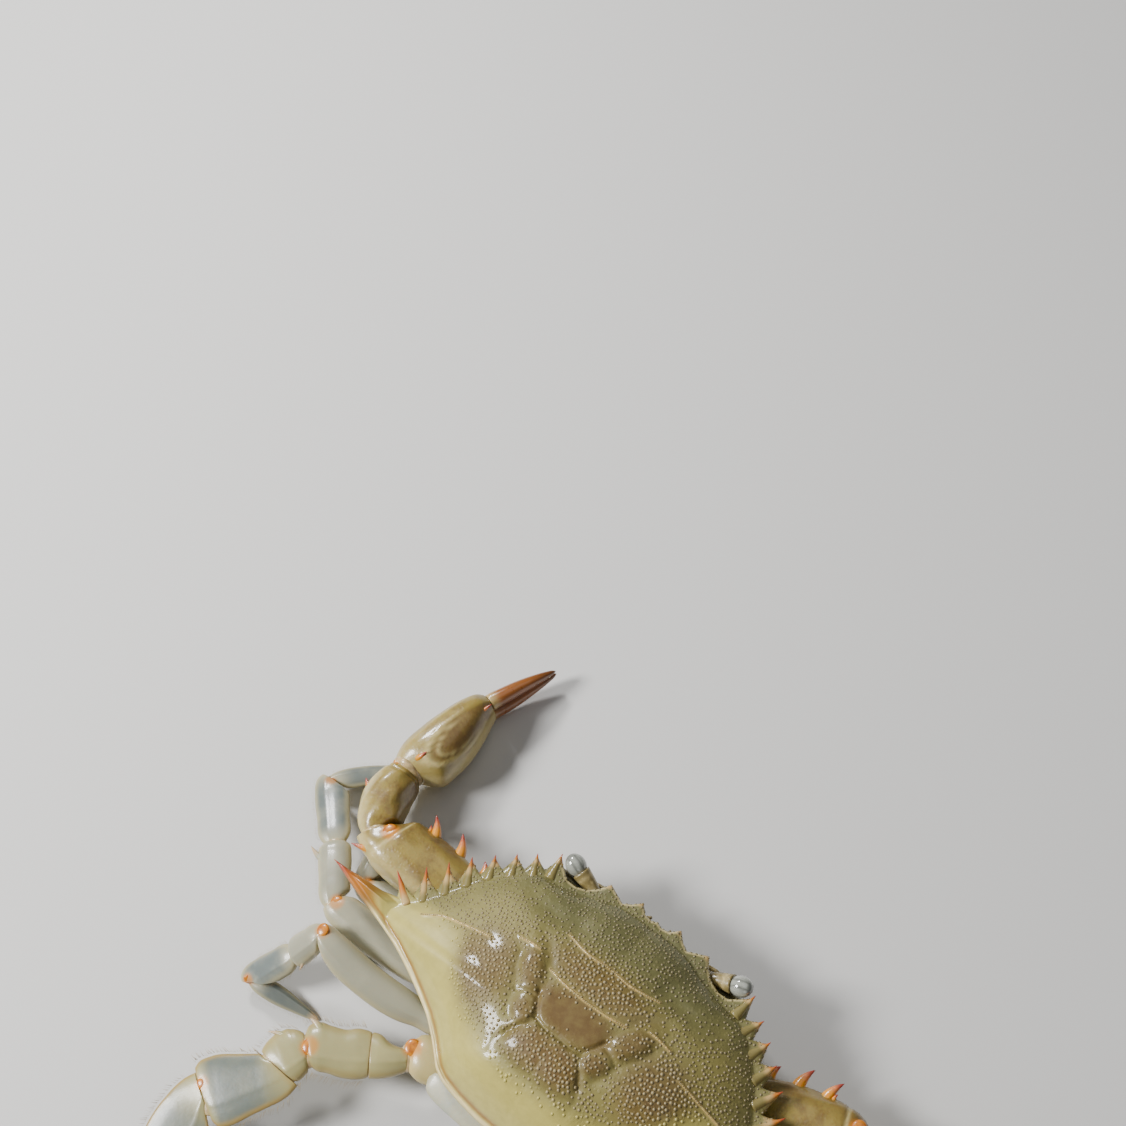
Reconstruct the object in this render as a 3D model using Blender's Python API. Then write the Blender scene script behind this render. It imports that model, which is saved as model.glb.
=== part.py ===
"""Blue crab, life size, at rest on its belly.

The crab faces -Y, its own left is +X, and the floor is z = 0. The origin is on the floor,
under the line between the two lateral spines.
"""

import math

import bmesh
import bpy
from mathutils import Matrix, Vector

# Driving dimensions in metres
MM = 0.001
GAP = 0.0003                # clear space between two pieces that meet
CARAPACE_WIDTH = 0.1444     # between the tips of the lateral spines
RIM_HEIGHT = 0.0205         # edge of the shell at the teeth
DOME_HEIGHT = 0.0135        # crown of the shell above its edge
SHELL_FLOOR = 0.0132        # flat under the shell, where the thorax meets it
REAR_RIM_DROP = 0.0040      # how much lower the rear margin lies
THORAX_HALF_WIDTH = 0.0275
PLEON_THICKNESS = 0.0028
EYE_RADIUS = 0.0023
SPINE_SIDES = 8
LIMB_SIDES = 12
RING_STEP = 0.00035         # least distance of each ring of a limb piece past the one before
CARPUS_BOW = 0.0018         # how far the claw's carpus bulges outward
SHELL_CENTRE_Y = 0.0020     # the shell's rays start from here

LEFT, RIGHT = 1, -1
SIDES = (("l", LEFT), ("r", RIGHT))
UP = Vector((0, 0, 1))

# Tips of the nine side teeth, from the eye to the lateral spine, in millimetres
TOOTH_TIPS = ((28.4, -34.3), (33.2, -30.8), (37.2, -27.8), (41.3, -24.4), (45.6, -20.6),
              (49.3, -16.2), (53.0, -12.0), (58.1, -7.1), (CARAPACE_WIDTH / MM / 2, 0.0))
TOOTH_DEPTH = 2.9           # notch behind the line between two tips, in millimetres
NOTCH_SHARE = 0.38          # how far before the next tip the notch lies

# Front and orbit, and the smooth rear edge, in millimetres
FRONT_EDGE = ((0.0, -35.2), (1.6, -34.6), (3.6, -35.0), (5.6, -37.0), (7.6, -35.0),
              (9.6, -33.8), (11.8, -34.6), (14.4, -35.4), (16.2, -33.2), (18.4, -30.6),
              (21.2, -29.6), (23.8, -30.2), (25.8, -31.8))
REAR_EDGE = ((66.0, 1.9), (60.5, 3.4), (54.5, 4.9), (47.5, 7.0), (41.0, 9.7), (35.5, 12.4),
             (30.6, 15.1), (26.6, 18.2), (23.6, 20.9), (21.4, 22.9), (18.6, 24.2),
             (13.4, 25.3), (7.0, 26.0), (0.0, 26.2))

# Smooth line inside the teeth: angle from the side in degrees, and radius in millimetres
BASE_LINE = ((-90, 34.6), (-75, 35.6), (-60, 36.4), (-50, 38.8), (-44, 42.3), (-36, 44.6),
             (-27, 46.4), (-18, 49.4), (-10, 53.0), (-4, 55.5), (-1, 56.5), (2, 54.5),
             (5, 48.7), (9, 42.6), (13, 38.5), (18, 35.0), (24, 32.2), (31, 30.3),
             (43, 29.0), (48, 28.2), (60, 26.0), (75, 24.3), (90, 23.7))


def mm(x, y, z):
    return Vector((x, y, z)) * MM


def new_material(name, colour, roughness):
    material = bpy.data.materials.new(name)
    material.use_nodes = True
    shader = material.node_tree.nodes["Principled BSDF"]
    shader.inputs["Base Color"].default_value = (*colour, 1)
    shader.inputs["Roughness"].default_value = roughness
    shader.inputs["Metallic"].default_value = 0.0
    return material


def add_object(name, bm, collection, colour=None, roughness=0.4):
    """Close a bmesh into a named object, with its own material when a colour is given."""
    bmesh.ops.recalc_face_normals(bm, faces=bm.faces)
    mesh = bpy.data.meshes.new(name)
    bm.to_mesh(mesh)
    bm.free()
    if colour:
        mesh.materials.append(new_material(name, colour, roughness))
    item = bpy.data.objects.new(name, mesh)
    collection.objects.link(item)
    return item


def loft(rings):
    """Skin a list of rings. A ring of one point closes to a pole, a longer one to a flat cap."""
    bm = bmesh.new()
    loops = [[bm.verts.new(point) for point in ring] for ring in rings]
    for first, second in zip(loops, loops[1:]):
        count = max(len(first), len(second))
        for k in range(count):
            n = (k + 1) % count
            if len(first) == 1:
                bm.faces.new((first[0], second[n], second[k]))
            elif len(second) == 1:
                bm.faces.new((first[k], first[n], second[0]))
            else:
                bm.faces.new((first[k], first[n], second[n], second[k]))
    for cap in (loops[0], loops[-1]):
        if len(cap) > 2:
            bm.faces.new(cap)
    return bm


def ring_at(centre, normal, half_width, half_height, count=LIMB_SIDES, power=0.9, up=UP,
            other_width=None):
    """An oval ring across a normal, with its width level and its height along up."""
    side = up.cross(normal).normalized()
    rise = normal.cross(side).normalized()
    points = []
    for k in range(count):
        turn = 2 * math.pi * k / count
        across, along = math.cos(turn), math.sin(turn)
        across = math.copysign(abs(across) ** power, across)
        along = math.copysign(abs(along) ** power, along)
        width = half_width if across > 0 or other_width is None else other_width
        points.append(centre + side * (across * width) + rise * (along * half_height))
    return points


def keep_largest(bm):
    """Leave only the closed surface with the most faces."""
    left = set(bm.faces)
    islands = []
    while left:
        stack = [left.pop()]
        island = set(stack)
        while stack:
            for edge in stack.pop().edges:
                for face in edge.link_faces:
                    if face in left:
                        left.remove(face)
                        island.add(face)
                        stack.append(face)
        islands.append(island)
    islands.sort(key=len)
    for island in islands[:-1]:
        bmesh.ops.delete(bm, geom=list(island), context="FACES")


def apply_boolean(item, operation, others):
    """Join others to an object, or cut it with them, and remove them."""
    group = bpy.data.collections.new(item.name + "_" + operation.lower())
    bpy.context.scene.collection.children.link(group)
    for other in others:
        for home in list(other.users_collection):
            home.objects.unlink(other)
        group.objects.link(other)
    modifier = item.modifiers.new(operation, "BOOLEAN")
    modifier.operation = operation
    modifier.operand_type = "COLLECTION"
    modifier.collection = group
    modifier.solver = "EXACT"
    bpy.context.view_layer.update()
    graph = bpy.context.evaluated_depsgraph_get()
    mesh = bpy.data.meshes.new_from_object(item.evaluated_get(graph))
    item.modifiers.clear()
    item.data = mesh
    for other in others:
        bpy.data.objects.remove(other)
    bpy.data.collections.remove(group)
    bm = bmesh.new()
    bm.from_mesh(mesh)
    bmesh.ops.remove_doubles(bm, verts=bm.verts, dist=0.02 * MM)
    bmesh.ops.dissolve_degenerate(bm, edges=bm.edges, dist=0.01 * MM)
    keep_largest(bm)
    bm.to_mesh(mesh)
    bm.free()
    return item


def trim_at_floor(item):
    """Cut away what lies under the floor and close the cut with a flat."""
    bm = bmesh.new()
    bm.from_mesh(item.data)
    parts = bm.verts[:] + bm.edges[:] + bm.faces[:]
    cut = bmesh.ops.bisect_plane(bm, geom=parts, plane_co=(0, 0, 0), plane_no=UP,
                                 clear_inner=True)
    edges = [g for g in cut["geom_cut"] if isinstance(g, bmesh.types.BMEdge)]
    bmesh.ops.holes_fill(bm, edges=edges)
    bmesh.ops.recalc_face_normals(bm, faces=bm.faces)
    bm.to_mesh(item.data)
    bm.free()


def spine(root, tip, radius, collection, name="spine", flat=1.0):
    """A tapered point from inside its root to its tip."""
    axis = tip - root
    rings = []
    for share, width in ((0.0, 1.0), (0.45, 0.72), (0.8, 0.36)):
        rings.append(ring_at(root + axis * share, axis.normalized(), radius * width,
                             radius * width * flat, SPINE_SIDES, 1.0))
    rings.append([tip])
    return add_object(name, loft(rings), collection)


# Shell

def interpolate(table, value):
    """Read a smooth value between the rows of a table of pairs."""
    for (a, fa), (b, fb) in zip(table, table[1:]):
        if value <= b:
            share = (value - a) / (b - a)
            return fa + (fb - fa) * share
    return table[-1][1]


def side_outline():
    """The left edge of the shell from the middle of the front to the middle of the rear."""
    points = [Vector(p) for p in FRONT_EDGE]
    tips = [Vector(p) for p in TOOTH_TIPS]
    points.append(tips[0])
    for tip, following in zip(tips, tips[1:-1]):
        along = following - tip
        inward = Vector((-along.y, along.x)).normalized()
        notch = following - along * NOTCH_SHARE + inward * TOOTH_DEPTH
        shoulder = tip.lerp(notch, 0.5) + Vector((0.5, 0.1))
        points += [shoulder, notch, notch.lerp(following, 0.6), following]
    points += [Vector((58.6, -5.2)), Vector((59.4, -3.4)), Vector((65.5, -1.9)), tips[-1]]
    points += [Vector(p) for p in REAR_EDGE]
    return points


def shell_outline():
    """The whole edge, counted from the middle of the front round the left to the front again."""
    left = side_outline()
    right = [Vector((-p.x, p.y)) for p in left[-2:0:-1]]
    return left + right


def rim_height(point):
    """Height of the shell's edge: level along the teeth, lower at the rear."""
    angle = math.atan2(point.y * MM - SHELL_CENTRE_Y, abs(point.x) * MM)
    tip_lift = max(0.0, abs(point.x) - 58.0) * 0.14 * MM
    return RIM_HEIGHT - REAR_RIM_DROP * max(0.0, math.sin(angle)) + tip_lift


def shell_rings():
    """Rings from the crown over the teeth and back under to the flat below the shell."""
    outline = shell_outline()
    centre = Vector((0, SHELL_CENTRE_Y / MM))
    inner = []
    for point in outline:
        ray = point - centre
        angle = math.degrees(math.atan2(ray.y, abs(ray.x)))
        radius = min(interpolate(BASE_LINE, angle), ray.length - 0.35)
        inner.append(centre + ray.normalized() * radius)
    rings = [[Vector((0, SHELL_CENTRE_Y, RIM_HEIGHT + DOME_HEIGHT))]]
    for share in (0.2, 0.4, 0.58, 0.74, 0.87, 0.96):
        ring = []
        for point in inner:
            low = rim_height(point) + 1.2 * MM
            lift = (1 - share ** 2.2) ** 0.85
            flat = centre.lerp(point, share) * MM
            height = low + (RIM_HEIGHT + DOME_HEIGHT - low) * lift
            ring.append(Vector((flat.x, flat.y, height)))
        rings.append(ring)

    def edge_ring(share, rise):
        ring = []
        for root, point in zip(inner, outline):
            flat = root.lerp(point, share) * MM
            ring.append(Vector((flat.x, flat.y, rim_height(point) + rise * MM)))
        return ring

    rings.append(edge_ring(0.0, 1.1))
    rings.append(edge_ring(0.5, 0.8))
    rings.append(edge_ring(1.0, 0.0))
    rings.append(edge_ring(0.5, -1.1))
    rings.append(edge_ring(0.0, -1.7))
    for share, lift in ((0.86, 0.45), (0.68, 0.0)):
        ring = []
        for point in inner:
            flat = centre.lerp(point, share) * MM
            top = rim_height(point) - 1.7 * MM
            ring.append(Vector((flat.x, flat.y, SHELL_FLOOR + (top - SHELL_FLOOR) * lift)))
        rings.append(ring)
    return rings


def make_carapace(collection, scratch):
    shell = add_object("carapace", loft(shell_rings()), collection, (0.28, 0.25, 0.07), 0.3)
    pits = []
    for _, side in SIDES:
        for path, radius in (eyestalk_path(side), antenna_root(side), antennule_root(side)):
            pits.append(add_object("pit", loft(tube_rings(path, radius + GAP, GAP)), scratch))
    return apply_boolean(shell, "DIFFERENCE", pits)


# Eyes and feelers

# How far out, ahead and up the feelers run from their roots, in millimetres
ANTENNA_LASH = ((2.2, 0.9, -0.3), (5.2, 1.0, -0.7), (8.6, 0.2, -1.0), (12.0, -1.4, -1.2))
ANTENNULE_TIP = ((-0.9, 1.2, 0.2), (-1.9, 1.7, 0.9))


def eyestalk_path(side):
    points = (mm(side * 13.5, -29.0, 17.2), mm(side * 18.4, -32.2, 17.6),
              mm(side * 22.4, -33.8, 19.4))
    return points, 1.5 * MM


def antenna_root(side):
    points = (mm(side * 11.5, -28.5, 16.0), mm(side * 12.4, -31.6, 15.7),
              mm(side * 13.4, -34.0, 15.4))
    return points, 1.1 * MM


def antennule_root(side):
    points = (mm(side * 4.6, -28.5, 16.6), mm(side * 5.0, -31.8, 16.2),
              mm(side * 4.6, -34.2, 16.0))
    return points, 0.9 * MM


def tube_rings(path, radius, spare=0.0, taper=1.0, count=8):
    """Round rings along a path, with flat ends across its first and last legs."""
    path = list(path)
    path[0] = path[0] - (path[1] - path[0]).normalized() * spare
    rings = []
    for k, point in enumerate(path):
        before = point - path[max(k - 1, 0)]
        after = path[min(k + 1, len(path) - 1)] - point
        normal = (before.normalized() + after.normalized()).normalized()
        width = radius * (1 - (1 - taper) * k / (len(path) - 1))
        rings.append(ring_at(point, normal, width, width, count, 1.0))
    return rings


def make_eye(tag, side, collection):
    points, radius = eyestalk_path(side)
    stalk = add_object("eyestalk_" + tag, loft(tube_rings(points, radius)), collection,
                       (0.35, 0.16, 0.05))
    axis = (points[-1] - points[-2]).normalized()
    rings = []
    start = points[-1] + axis * GAP
    for share in (0.0, 0.3, 0.62, 0.88):
        width = EYE_RADIUS * math.sqrt(1 - (1.4 * share - 0.55) ** 2)
        centre = start + axis * (EYE_RADIUS * 2.0 * share)
        rings.append(ring_at(centre, axis, width, width, 10, 1.0))
    rings.append([start + axis * (EYE_RADIUS * 2.05)])
    add_object("eye_" + tag, loft(rings), collection, (0.2, 0.2, 0.18), 0.1)
    return stalk


def make_feelers(tag, side, collection):
    points, radius = antenna_root(side)
    path = list(points)
    for out, ahead, rise in ANTENNA_LASH:
        path.append(points[-1] + mm(side * out, -ahead, rise))
    add_object("antenna_" + tag, loft(tube_rings(path, radius, taper=0.22)), collection,
               (0.45, 0.22, 0.07))
    points, radius = antennule_root(side)
    path = list(points)
    for out, ahead, rise in ANTENNULE_TIP:
        path.append(points[-1] + mm(side * out, -ahead, rise))
    add_object("antennule_" + tag, loft(tube_rings(path, radius, taper=0.5)), collection,
               (0.4, 0.25, 0.1))


# Underside

PLEON_PATH = (    # y, z of the middle of the plate, and its half width, in millimetres
    (19.6, 11.2, 13.0), (24.8, 11.4, 14.5), (27.4, 9.6, 15.6), (27.6, 6.4, 16.6),
    (25.6, 3.2, 17.4), (21.6, 1.4, 18.0), (12.0, 1.4, 18.2), (3.0, 1.4, 16.2),
    (-5.0, 1.4, 11.4), (-9.5, 1.4, 6.6), (-12.0, 1.4, 3.2), (-15.0, 1.4, 0.9))


def pleon_rings(spare):
    """Flat plate rings down the back and forward under the body."""
    rings = []
    count = len(PLEON_PATH)
    for k, (y, z, half_width) in enumerate(PLEON_PATH):
        before = PLEON_PATH[max(k - 1, 0)]
        after = PLEON_PATH[min(k + 1, count - 1)]
        direction = Vector((0, after[0] - before[0], after[1] - before[1])).normalized()
        rise = Vector((0, direction.z, -direction.y))
        centre = mm(0, y, z)
        if k == 0:
            centre -= direction * spare
        if k == count - 1:
            centre += direction * spare
        width = half_width * MM + spare
        half = PLEON_THICKNESS / 2 + spare
        corner = 0.5 * MM
        ring = []
        for across, up in ((width, -half + corner), (width, half - corner),
                           (width - corner, half), (corner - width, half),
                           (-width, half - corner), (-width, corner - half),
                           (corner - width, -half), (width - corner, -half)):
            ring.append(centre + Vector((across, 0, 0)) + rise * up)
        rings.append(ring)
    return rings


THORAX_LEVELS = (    # height, front, rear, share of the half width, in millimetres
    (0.9, -16.5, 17.5, 0.80), (3.6, -20.0, 20.5, 1.0), (8.4, -24.2, 21.0, 1.0),
    (SHELL_FLOOR / MM - GAP / MM, -27.8, 19.5, 0.93))
MOUTH_FOOT = (-18.6, 2.6)     # y, z of the lower end of the mouth plates
MOUTH_TOP = (-27.4, 12.2)
MOUTH_HALF_WIDTH = 8.2
MOUTH_THICKNESS = 2.4
STUMP_DEPTH = 0.78            # how far towards the body's middle the stump of a limb starts
STUMP_BULGE = 2.2 * MM        # where it is thickest, before the joint


def thorax_rings():
    rings = []
    for height, front, rear, share in THORAX_LEVELS:
        middle, half = (front + rear) / 2, (rear - front) / 2
        ring = []
        for k in range(32):
            turn = 2 * math.pi * k / 32
            across, along = math.cos(turn), math.sin(turn)
            across = math.copysign(abs(across) ** 0.75, across)
            along = math.copysign(abs(along) ** 0.85, along)
            narrow = 1 - 0.3 * max(0.0, along) ** 2 - 0.34 * max(0.0, -along) ** 2
            ring.append(Vector((across * narrow * share * THORAX_HALF_WIDTH,
                                (middle + along * half) * MM, height * MM)))
        rings.append(ring)
    return rings


def mouth_rings(low, high, depth, spare, start=0.0, end=1.0):
    """A plate along the slope of the mouth between two places across it."""
    foot, top = mm(0, *MOUTH_FOOT), mm(0, *MOUTH_TOP)
    slope = (top - foot).normalized()
    out = Vector((0, -slope.z, slope.y)) * (1 if slope.y < 0 else -1)
    rings = []
    for share, inset in ((start, 0.8), (start + 0.1, 0.0), (end - 0.1, 0.0), (end, 0.8)):
        centre = foot.lerp(top, share)
        shift = spare if share > 0.5 else -spare
        if inset:
            centre = centre + slope * shift
        a, b = (low + inset) * MM - spare, (high - inset) * MM + spare
        inner, outer = -depth - spare, 0.6 * MM + (2 * MM if spare else 0)
        rings.append([centre + Vector((x, 0, 0)) + out * d
                      for x, d in ((a, inner), (b, inner), (b, outer), (a, outer))])
    return rings


def make_underside(collection, scratch):
    """Thorax with the stumps of its ten limbs, the mouth plates and the folded tail."""
    thorax = add_object("thorax", loft(thorax_rings()), collection, (0.75, 0.72, 0.62), 0.45)
    stumps = []
    for tag, side in SIDES:
        for limb in limbs(tag, side):
            start = limb["root"]
            inner = start.lerp(Vector((0, start.y * 0.5, start.z * 0.7)), STUMP_DEPTH)
            direction = limb["directions"][0]
            half_width, half_height = limb["coxa"]
            rings = [ring_at(inner, direction, half_width * 0.5, half_height * 0.7),
                     ring_at(start - direction * STUMP_BULGE, direction, half_width, half_height),
                     ring_at(start - direction * GAP / 2, direction, half_width * 0.8,
                             half_height * 0.8)]
            stumps.append(add_object("coxa", loft(rings), scratch))
    apply_boolean(thorax, "UNION", stumps)
    recess = add_object("mouth_recess", loft(mouth_rings(
        -MOUTH_HALF_WIDTH, MOUTH_HALF_WIDTH, MOUTH_THICKNESS * MM, GAP)), scratch)
    groove = add_object("pleon_groove", loft(pleon_rings(GAP * 1.5)), scratch)
    apply_boolean(thorax, "DIFFERENCE", [recess, groove])
    for tag, side in SIDES:
        low, high = (GAP / 2 / MM, MOUTH_HALF_WIDTH)
        if side == RIGHT:
            low, high = -high, -low
        add_object("mouth_plate_" + tag, loft(mouth_rings(low, high, MOUTH_THICKNESS * MM, 0)),
                   collection, (0.55, 0.5, 0.38), 0.4)
    pleon = add_object("pleon", loft(pleon_rings(0.0)), collection, (0.78, 0.76, 0.68), 0.45)
    return thorax, pleon


# Limbs

FINGER_LENGTH = 20.0

# Name, half width and half height of each piece in millimetres
CLAW_SECTIONS = (("ischium", 5.0, 3.9), ("merus", 8.3, 5.5), ("carpus", 6.2, 6.1),
                 ("palm", 7.0, 8.7), ("dactyl", 2.5, 2.5))
LEG_SECTIONS = (("merus", 4.5, 2.8), ("carpus", 4.0, 2.5), ("propodus", 4.3, 2.1),
                ("dactyl", 2.6, 1.4))
PADDLE_SECTIONS = (("ischium", 5.4, 3.0), ("merus", 5.8, 2.8), ("carpus", 6.2, 2.4),
                   ("propodus", 8.0, 1.6), ("dactyl", 8.0, 0.9))

# Profiles: share along a piece, then its reach to the rear or outer side, its reach to the
# front or inner side and its height, as shares of the half width and half height
ARM_FORM = ((0.0, 0.62, 0.62, 0.66), (0.1, 0.86, 0.86, 0.86), (0.4, 0.96, 0.96, 1.0),
            (0.8, 1.02, 1.02, 1.0), (0.93, 0.92, 0.92, 0.9), (1.0, 0.66, 0.66, 0.68))
CLAW_MERUS_FORM = ((0.0, 0.52, 0.52, 0.6), (0.1, 0.66, 0.66, 0.7), (0.3, 0.9, 0.9, 0.86),
                   (0.62, 1.0, 1.0, 1.0), (0.88, 0.9, 0.9, 1.0), (1.0, 0.62, 0.62, 0.72))
CARPUS_FORM = ((0.0, 0.62, 0.62, 0.66), (0.12, 0.86, 0.86, 0.86), (0.4, 1.0, 1.0, 1.0),
               (0.7, 0.95, 0.95, 1.0), (0.9, 0.74, 0.74, 0.9), (1.0, 0.54, 0.54, 0.7))
PALM_FORM = ((0.0, 0.62, 0.66, 0.62), (0.1, 0.88, 1.1, 0.84), (0.35, 1.1, 1.22, 1.0),
             (0.6, 1.1, 1.04, 1.0), (0.8, 0.98, 0.74, 0.92), (0.93, 0.74, 0.52, 0.76),
             (1.0, 0.5, 0.4, 0.6))
LEG_MERUS_FORM = ((0.0, 0.66, 0.66, 0.95), (0.09, 0.8, 0.8, 1.12), (0.2, 0.74, 0.74, 0.98),
                  (0.3, 0.9, 0.9, 1.0), (0.6, 1.0, 1.0, 1.0), (0.86, 0.98, 0.98, 1.0),
                  (0.95, 0.88, 0.88, 0.9), (1.0, 0.64, 0.64, 0.68))
DACTYL_FORM = ((0.0, 0.6, 0.6, 0.75), (0.12, 0.9, 0.9, 0.95), (0.35, 1.0, 1.0, 1.0),
               (0.65, 0.7, 0.7, 0.8), (0.88, 0.36, 0.36, 0.55), (1.0, 0.12, 0.12, 0.3))
ISCHIUM_FORM = ((0.0, 0.6, 0.3, 0.72), (0.25, 0.78, 0.36, 0.9), (0.5, 0.92, 0.5, 1.0),
                (0.77, 1.0, 0.84, 1.0), (1.0, 1.02, 0.94, 0.9))
MERUS_FORM = ((0.0, 0.92, 0.88, 0.88), (0.2, 1.0, 0.98, 1.0), (0.42, 0.97, 0.92, 1.0),
              (0.67, 0.8, 1.06, 1.0), (0.86, 0.72, 1.16, 0.98), (0.95, 0.62, 0.98, 0.88),
              (1.0, 0.48, 0.66, 0.72))
WEDGE_FORM = ((0.0, 0.5, 0.7, 0.7), (0.17, 0.62, 1.04, 0.9), (0.5, 0.78, 1.18, 1.0),
              (0.85, 0.86, 1.12, 0.95), (1.0, 0.8, 0.94, 0.8))
PLATE_FORM = ((0.0, 0.8, 0.42, 0.9), (0.1, 0.92, 0.5, 1.0), (0.3, 1.0, 0.66, 1.0),
              (0.45, 1.04, 0.78, 1.0), (0.8, 1.1, 1.0, 0.95), (0.94, 1.0, 0.96, 0.85),
              (1.0, 0.84, 0.84, 0.7))
PADDLE_FORM = ((0.0, 0.3, 0.72, 1.3), (0.08, 0.42, 0.86, 1.2), (0.22, 0.66, 1.0, 1.0),
               (0.45, 0.98, 1.06, 1.0), (0.66, 1.0, 0.96, 0.9), (0.84, 0.76, 0.68, 0.8),
               (0.95, 0.42, 0.36, 0.7), (1.0, 0.14, 0.14, 0.6))
FORMS = {"cheliped": {"merus": CLAW_MERUS_FORM, "carpus": CARPUS_FORM, "palm": PALM_FORM},
         "paddle_leg": {"ischium": ISCHIUM_FORM, "merus": MERUS_FORM, "carpus": WEDGE_FORM,
                        "propodus": PLATE_FORM, "dactyl": PADDLE_FORM}}
LEG_FORMS = {"merus": LEG_MERUS_FORM, "dactyl": DACTYL_FORM}

# Joints whose plane is turned forward from the middle of the two directions, in degrees
SKEWS = {"paddle_leg": {3: -28, 4: 14}}

# Each limb: place of its root, its size, how long its pieces are, how far the first long
# piece bows to the rear, and for each piece how far forward of straight out it points and
# how far up, in degrees, left and then right
POSES = {
    "cheliped": {
        "root": (25.5, -14.5, 8.5), "coxa": (5.2, 4.6), "width": 1.0, "bow": 0.0,
        "lengths": (10.5, 36.4, 18.0, 27.6, FINGER_LENGTH),
        "l": ((-5, 10), (-1, 3), (74, -5), (100, -8), (112, -3)),
        "r": ((4, 10), (13, 3), (6, -5), (4, -8), (8, -3))},
    "leg2": {
        "root": (28.3, -4.7, 8.3), "coxa": (3.6, 3.6), "width": 0.9, "bow": 0.5,
        "lengths": (40.0, 15.0, 19.0, 21.0),
        "l": ((-5, -3), (74, -10), (173, -4), (167, 0)),
        "r": ((3, 13), (6, -18), (1, -34), (-7, 0))},
    "leg3": {
        "root": (28.4, 3.8, 8.3), "coxa": (3.7, 3.7), "width": 1.0, "bow": 1.6,
        "lengths": (41.0, 16.6, 19.4, 23.5),
        "l": ((-5, 6), (47, -10), (42, -15), (131, 0)),
        "r": ((-4, 15), (-3, -20), (-11, -34), (-19, 0))},
    "leg4": {
        "root": (26.6, 12.9, 8.3), "coxa": (3.6, 3.7), "width": 0.9, "bow": 2.6,
        "lengths": (39.0, 10.6, 15.5, 19.6),
        "l": ((-4, 15), (-59, -36), (-56, -33), (172, 0)),
        "r": ((-13, 15), (-26, -16), (-33, -34), (-46, 0))},
    "paddle_leg": {
        "root": (30.0, 24.5, 11.4), "coxa": (5.5, 3.2), "width": 1.0, "bow": 0.0,
        "lengths": (9.1, 15.0, 7.7, 19.3, 26.0),
        "l": ((-34, 7), (-36, 7), (-66, -2), (-55, -6), (-97, -9)),
        "r": ((-34, 7), (-34, 7), (-60, 0), (-57, -6), (-90, -8))},
}
CLAW_SHORTER_RIGHT = 5.2      # how much shorter the right claw's merus shows in millimetres

# Claw spines: piece, share along and distance across the root and the tip, height of both
# above the middle of the piece, and radius at the root, in millimetres
CLAW_SPINES = ((1, 0.21, 6.0, 0.26, 10.0, 0.6, 1.2, 1.5), (1, 0.43, 5.4, 0.5, 12.2, 0.6, 1.8, 1.9),
               (1, 0.645, 6.0, 0.73, 12.0, 0.6, 1.8, 1.7), (1, 0.7, 7.0, 0.715, 9.2, 1.2, 1.8, 0.7),
               (1, 0.93, -4.2, 1.08, -6.4, 1.6, 2.4, 1.3), (2, 0.5, -5.0, 0.66, -8.6, 2.0, 2.6, 1.2),
               (3, 0.12, -1.0, 0.22, -2.4, 5.4, 8.8, 1.1), (3, 0.82, -1.2, 1.0, -2.2, 4.6, 6.8, 1.0))

# Leg spines, in the same order of numbers: on the carpus, and on the merus of the paddle leg
LEG_SPINES = {"leg3": ((1, 0.72, -2.4, 0.98, -6.0, 0.4, 0.8, 1.1),),
              "leg4": ((1, 0.66, -1.8, 0.98, -4.6, 0.4, 0.8, 0.9),),
              "paddle_leg": ((1, 0.8, 4.4, 0.99, 7.6, 0.5, 1.2, 1.5),
                             (2, 0.4, 5.0, 0.84, 8.8, 0.4, 0.9, 1.0))}


def direction_of(side, heading, pitch):
    """Unit vector of a heading forward of straight out and a pitch up, both in degrees."""
    ahead, rise = math.radians(heading), math.radians(pitch)
    return Vector((side * math.cos(ahead) * math.cos(rise), -math.sin(ahead) * math.cos(rise),
                   math.sin(rise)))


def limb_pieces(kind, side):
    """Name, length, half width and half height of each piece of a limb."""
    sections = {"cheliped": CLAW_SECTIONS, "paddle_leg": PADDLE_SECTIONS}.get(kind, LEG_SECTIONS)
    pose = POSES[kind]
    pieces = []
    for (name, width, height), length in zip(sections, pose["lengths"]):
        if kind == "cheliped" and name == "merus" and side == RIGHT:
            length -= CLAW_SHORTER_RIGHT
        pieces.append((name, length, width * pose["width"], height))
    return pieces


def limbs(tag, side):
    """Joints and directions of the five limbs of one side."""
    found = []
    for kind, pose in POSES.items():
        pieces = limb_pieces(kind, side)
        x, y, z = pose["root"]
        joints = [mm(side * x, y, z)]
        directions = []
        for (name, length, _, _), (heading, pitch) in zip(pieces, pose[tag]):
            if name == "dactyl" and kind.startswith("leg"):
                drop = 0.45 - joints[-1].z / MM
                pitch = math.degrees(math.asin(max(-0.95, min(0.95, drop / length))))
            directions.append(direction_of(side, heading, pitch))
            joints.append(joints[-1] + directions[-1] * length * MM)
        found.append({"name": kind + "_" + tag, "kind": kind, "root": joints[0],
                      "joints": joints, "directions": directions, "pieces": pieces,
                      "side": side, "bow": pose["bow"] * MM,
                      "coxa": [c * MM for c in pose["coxa"]]})
    return found


def joint_normal(limb, k):
    """Normal of the plane where piece k begins: half way between the two directions."""
    directions = limb["directions"]
    if k == 0:
        return directions[0]
    if k == len(directions):
        return directions[-1]
    normal = (directions[k - 1] + directions[k]).normalized()
    turn = SKEWS.get(limb["kind"], {}).get(k, 0.0)
    normal.rotate(Matrix.Rotation(-limb["side"] * math.radians(turn), 3, "Z"))
    return normal


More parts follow.
